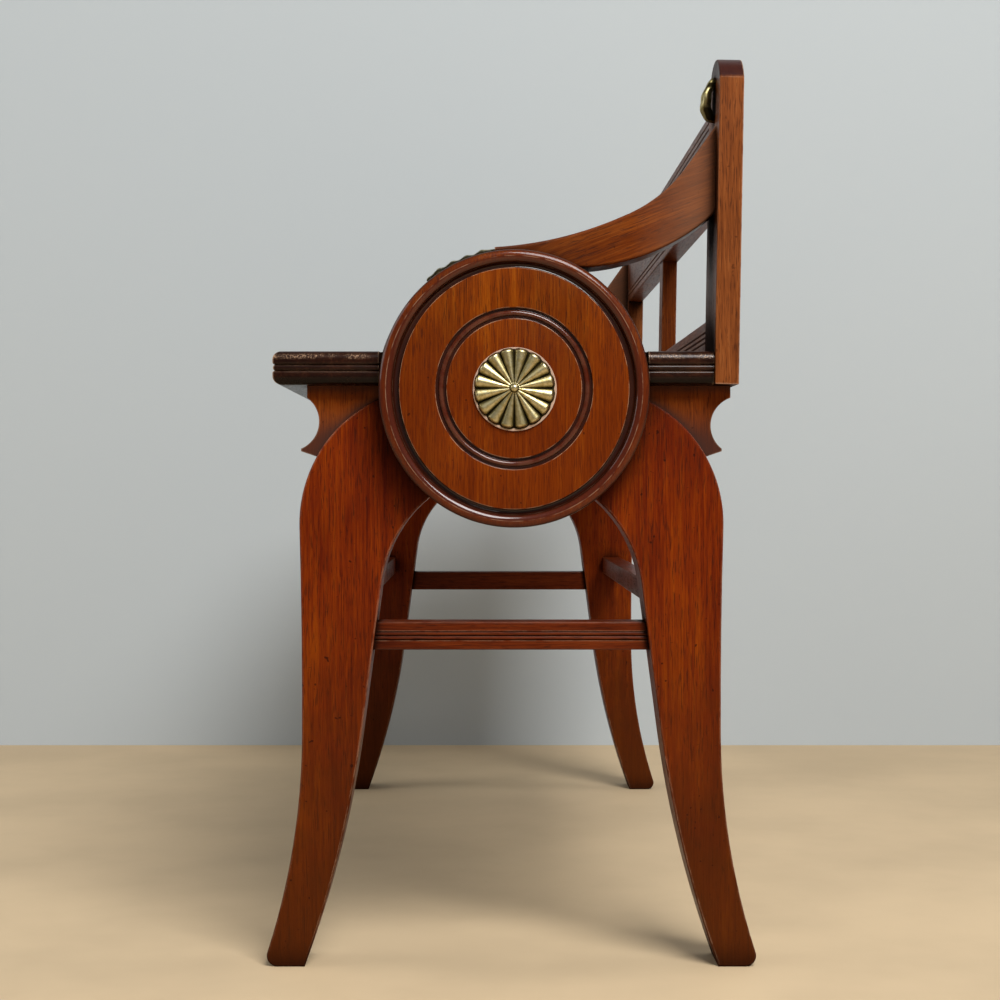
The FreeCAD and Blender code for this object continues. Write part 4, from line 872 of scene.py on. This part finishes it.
def bowed_leaf(half_height):
    """The leaf's places across and up, its heights and its hollows.

    Up runs from 0 at the foot to 1 at the tip and across from -1 to 1. The outline is an oval with a
    scallop at each rib. The height is a bow that is fullest below the middle, times a gently round
    section across, with a furrow between ribs and a few lumps up its length.
    """
    up = np.linspace(0, 1, LEAF_ROWS)[:, None]
    across = np.linspace(-1, 1, LEAF_COLUMNS)[None, :]
    oval = np.sqrt(np.maximum(1 - (2 * up - 1) ** 2, 0)) ** OVAL_POWER
    rib = np.abs(np.cos(RIBS * np.arctan2(across * oval, up + FAN_FOOT))) ** RIB_POWER
    rib_at_edge = np.abs(np.cos(RIBS * np.arctan2(np.sign(across) * oval, up + FAN_FOOT)))
    swell = np.sin(np.pi * up ** SWELL_SKEW) ** SWELL_POWER
    section = np.sqrt(np.maximum(1 - np.abs(across) ** SECTION_POWER, 0))
    lump = dip(LUMP_DEPTH, np.cos(2 * np.pi * LUMPS * up))
    bow = swell * lump * dip(SECTION_DEPTH, section) * dip(FURROW, rib)
    button = np.exp(-((up - BUTTON_UP) / BUTTON_LENGTH) ** 2 - (across * oval / BUTTON_WIDTH) ** 2)
    height = np.maximum(bow, BUTTON_HEIGHT * button)
    hollow = np.clip(FURROW_STAIN - rib, LEAST_STAIN, 1) * (1 - BUTTON_RUBBED * button)
    aside = across * oval * dip(RIB_SCALLOP, rib_at_edge) * half_height * LEAF_SLIM
    return aside, (2 * up - 1) * half_height * np.ones_like(across), height, hollow


for end_name, _ in ENDS:
    low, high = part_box(f"stile_boss_{end_name}")
    middle_x, middle_z = (low.x + high.x) / 2, (low.z + high.z) / 2
    stile_low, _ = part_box(f"back_stile_{end_name}")
    aside, lift, height, hollow = bowed_leaf((high.x - low.x) / 2)
    wood_y = stile_low.y + (middle_z + lift - stile_low.z) * np.tan(BACK_LEAN)
    face_y = wood_y - LEAF_EDGE - height * LEAF_RISE
    back_y = np.minimum(wood_y, face_y + LEAF_THICK)
    face, back = (np.stack([middle_x + aside, y, middle_z + lift], axis=-1) for y in (face_y, back_y))
    grid, masks = plated(face, back, hollow)
    mesh = ring_mesh(f"LeafBoss_{end_name}", grid, True, masks)
    new_piece(f"LeafBoss_{end_name}", mesh, OLD_BRASS, f"stile_boss_{end_name}")

# %% [markdown]
# ## The leaf mounts on the arms
# A strip of cast leaves climbs the round end of each arm, ahead of the step where the sweep begins. It
# is a grid along the strip and across it, bent over the arm's round end: a midrib, and lobes that lean
# forward like the barbs of a feather. The edge is scalloped where each lobe ends. A flat leaf could be
# bent by a modifier, but a grid that is made on the curve needs no later step.

# %% Arm mounts
STRIP_ROWS, STRIP_COLUMNS = 150, 49
STRIP_START, STRIP_END = np.radians(97.0), np.radians(128.0)
STRIP_RISE, STRIP_BASE, STRIP_SUNK = 4.2 * MM, 3.2 * MM, 0.1 * MM
DRUM_RADIUS = 102.0 * MM
LOBES, LOBE_SLANT = 5, 0.75
LOBE_POWER, LOBE_DEPTH = 0.6, 0.70
END_STEEPNESS, END_POWER, END_NARROWS, END_SINKS = 9, 0.5, 0.65, 0.75
STRIP_SCALLOP, STRIP_SCALLOP_POWER = 0.30, 0.7
ROOF_ACROSS_POWER, ROOF_POWER = 2.2, 0.6
MIDRIB_WIDTH, MIDRIB_BED, MIDRIB_RISE = 0.10, 0.35, 0.45
CURL_DEPTH = 0.20
KNOB_LENGTH, KNOB_STANDS = 0.17, 0.48
RUBBED_CLEAN, LOBE_RUBBED, ROOF_RUBBED = 0.60, 1.3, 1.2


def leaf_strip():
    """The strip's places along (0 to 1) and across (-1 to 1), its heights, half width and hollows.

    The height is a roof across the strip, cut into slanting lobes, with a midrib on top. It curls at each
    lobe, stands highest in a knob at its start, and sinks at both ends.
    """
    along = np.linspace(0, 1, STRIP_ROWS)[:, None]
    across = np.linspace(-1, 1, STRIP_COLUMNS)[None, :]
    lobe = np.abs(np.sin(np.pi * (along * LOBES - LOBE_SLANT * np.abs(across))))
    lobe_at_edge = np.abs(np.sin(np.pi * (along * LOBES - LOBE_SLANT)))
    ends = np.clip(np.minimum(along, 1 - along) * END_STEEPNESS, 0, 1) ** END_POWER
    half_width = dip(STRIP_SCALLOP, lobe_at_edge ** STRIP_SCALLOP_POWER) * dip(END_NARROWS, ends)
    roof = (1 - np.abs(across) ** ROOF_ACROSS_POWER) ** ROOF_POWER
    midrib = np.exp(-(across / MIDRIB_WIDTH) ** 2)
    leaves = roof * dip(LOBE_DEPTH, lobe ** LOBE_POWER) * (1 - MIDRIB_BED * midrib)
    curl = dip(CURL_DEPTH, np.cos(2 * np.pi * along * LOBES))
    knob = dip(KNOB_STANDS, np.exp(-(along / KNOB_LENGTH) ** 2))
    height = (leaves + MIDRIB_RISE * midrib * ends) * curl * knob * dip(END_SINKS, ends)
    hollow = 1 - RUBBED_CLEAN * np.clip(lobe * LOBE_RUBBED, 0, 1) * np.clip(roof * ROOF_RUBBED, 0, 1)
    return along, across, height / height.max(), half_width, hollow


def arm_strip(middle_x, width):
    """The leaf bent over the drum, as a tube of rows: its face, then its flat back."""
    along, across, height, half_width, hollow = leaf_strip()
    angle = STRIP_START + along * (STRIP_END - STRIP_START) * np.ones_like(across)
    x = middle_x + across * half_width * width / 2

    def bent(radius):
        return np.stack([x, ROUNDEL_Y + radius * np.cos(angle), ROUNDEL_Z + radius * np.sin(angle)], axis=-1)

    face_radius = DRUM_RADIUS + STRIP_BASE + height * STRIP_RISE
    return plated(bent(face_radius), bent(DRUM_RADIUS - STRIP_SUNK), hollow)


for end_name, _ in ENDS:
    low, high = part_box(f"arm_mount_{end_name}")
    tube, masks = arm_strip((low.x + high.x) / 2, high.x - low.x)
    mesh = ring_mesh(f"LeafMount_{end_name}", tube, False, masks)
    new_piece(f"LeafMount_{end_name}", mesh, OLD_BRASS, f"arm_mount_{end_name}")

# %% [markdown]
# ## A quiet room
# The floor is plain and pale, and a plain wall stands behind the far end of the bench. The wall is one
# sided: seen from behind it lets the view through, so it never hides the bench from another angle.

# %% Floor and wall
WALL_X = -0.767
FLOOR_SIDE, WALL_HEIGHT = 6.0, 3.0
FLOOR_COLOUR = (0.515, 0.385, 0.232)
WALL_COLOUR = (0.437, 0.472, 0.485)
FLOOR_MOTTLE = {"size": 0.25, "detail": 4.0}
FLOOR_DARKER, FLOOR_ROUGH = 0.86, 0.75


def stage_plane(name, corners, material):
    """A flat face that belongs to the room and not to the bench."""
    mesh = bpy.data.meshes.new(name)
    mesh.from_pydata(corners, [], [(0, 1, 2, 3)])
    mesh.materials.append(material)
    plane = bpy.data.objects.new(name, mesh)
    bpy.context.scene.collection.objects.link(plane)


def matt_floor(name, colour):
    """A plain matt colour with a very faint mottle."""
    material, lay = new_finish(name)
    mottle = plain_noise(lay, own_place(lay), **FLOOR_MOTTLE).ease(*MOTTLE_RANGE)
    darker = tuple(channel * FLOOR_DARKER for channel in colour)
    close_finish(lay, Base_Color=mottle.over(colour, darker), Roughness=FLOOR_ROUGH)
    return material


def one_sided_wall(name, colour):
    """Matt from the front, and clear from the back."""
    material, lay = new_finish(name)
    front = lay.node("ShaderNodeBsdfDiffuse", {}, {"Color": opaque(colour)})
    clear = lay.node("ShaderNodeBsdfTransparent")
    behind = lay.node("ShaderNodeNewGeometry", out="Backfacing")
    shown = lay.node("ShaderNodeMixShader", {}, {0: behind, 1: front, 2: clear})
    lay.node("ShaderNodeOutputMaterial", {}, {"Surface": shown})
    return material


half = FLOOR_SIDE / 2
floor_corners = [(-half, -half, 0), (half, -half, 0), (half, half, 0), (-half, half, 0)]
wall_corners = [(WALL_X, -half, 0), (WALL_X, half, 0),
                (WALL_X, half, WALL_HEIGHT), (WALL_X, -half, WALL_HEIGHT)]
stage_plane("Floor", floor_corners, matt_floor("FloorMatt", FLOOR_COLOUR))
stage_plane("Wall", wall_corners, one_sided_wall("WallMatt", WALL_COLOUR))
print("stage set")

# %% [markdown]
# ## Light and camera
# One large soft lamp hangs high behind the camera, as tall windows do, with two weaker ones at the sides
# to open the shadows. The camera stands at the end of the bench, level, and its lens and shift repeat
# the photograph's framing.

# %% Lamps
AIM = (0.2, 0.0, 0.35)
LAMPS = {
    "WindowHigh": {"spot": (2.1, 0.75, 2.4), "size": 1.4, "power": 124.0},
    "SideFront": {"spot": (0.4, -2.7, 1.6), "size": 1.8, "power": 32.0},
    "SideBack": {"spot": (-0.4, 2.6, 2.0), "size": 1.6, "power": 26.0},
}


def soft_lamp(name, target, spot, size, power):
    """A square area lamp at a spot, aimed at a target."""
    light = bpy.data.lights.new(name, "AREA")
    light.size = size
    light.energy = power
    lamp = bpy.data.objects.new(name, light)
    bpy.context.scene.collection.objects.link(lamp)
    lamp.location = spot
    x, y, z = np.array(target) - np.array(spot)
    lamp.rotation_euler = (np.arctan2(np.hypot(x, y), -z), 0.0, np.arctan2(x, -y) + np.pi)


for lamp_name, settings in LAMPS.items():
    soft_lamp(lamp_name, AIM, **settings)
print("lamps:", sorted(LAMPS))

# %% World and camera
ROOM_WHITE, ROOM_LEVEL = (1.0, 1.0, 1.0), 0.14
EYE = (1.8305, -0.025, 0.359)
SENSOR, FOCAL_LENGTH = 36.0, 67.5
SHIFT_ACROSS, SHIFT_UP = 0.022, -0.014
NEAREST, FARTHEST = 0.05, 50.0

world = bpy.data.worlds.new("Room")
world.use_nodes = True
world.node_tree.nodes.clear()
air = Wire(world.node_tree)
sky = air.node("ShaderNodeBackground", {}, {"Color": opaque(ROOM_WHITE), "Strength": ROOM_LEVEL})
air.node("ShaderNodeOutputWorld", {}, {"Surface": sky})
bpy.context.scene.world = world

lens = bpy.data.cameras.new("PhotoCamera")
lens.sensor_width, lens.lens = SENSOR, FOCAL_LENGTH
lens.shift_x, lens.shift_y = SHIFT_ACROSS, SHIFT_UP
lens.clip_start, lens.clip_end = NEAREST, FARTHEST
camera = bpy.data.objects.new("PhotoCamera", lens)
camera.location = EYE
camera.rotation_euler = (np.pi / 2, 0.0, np.pi / 2)
bpy.context.scene.collection.objects.link(camera)
bpy.context.scene.camera = camera
bpy.context.scene.view_settings.view_transform = "Standard"
print("camera at", EYE)
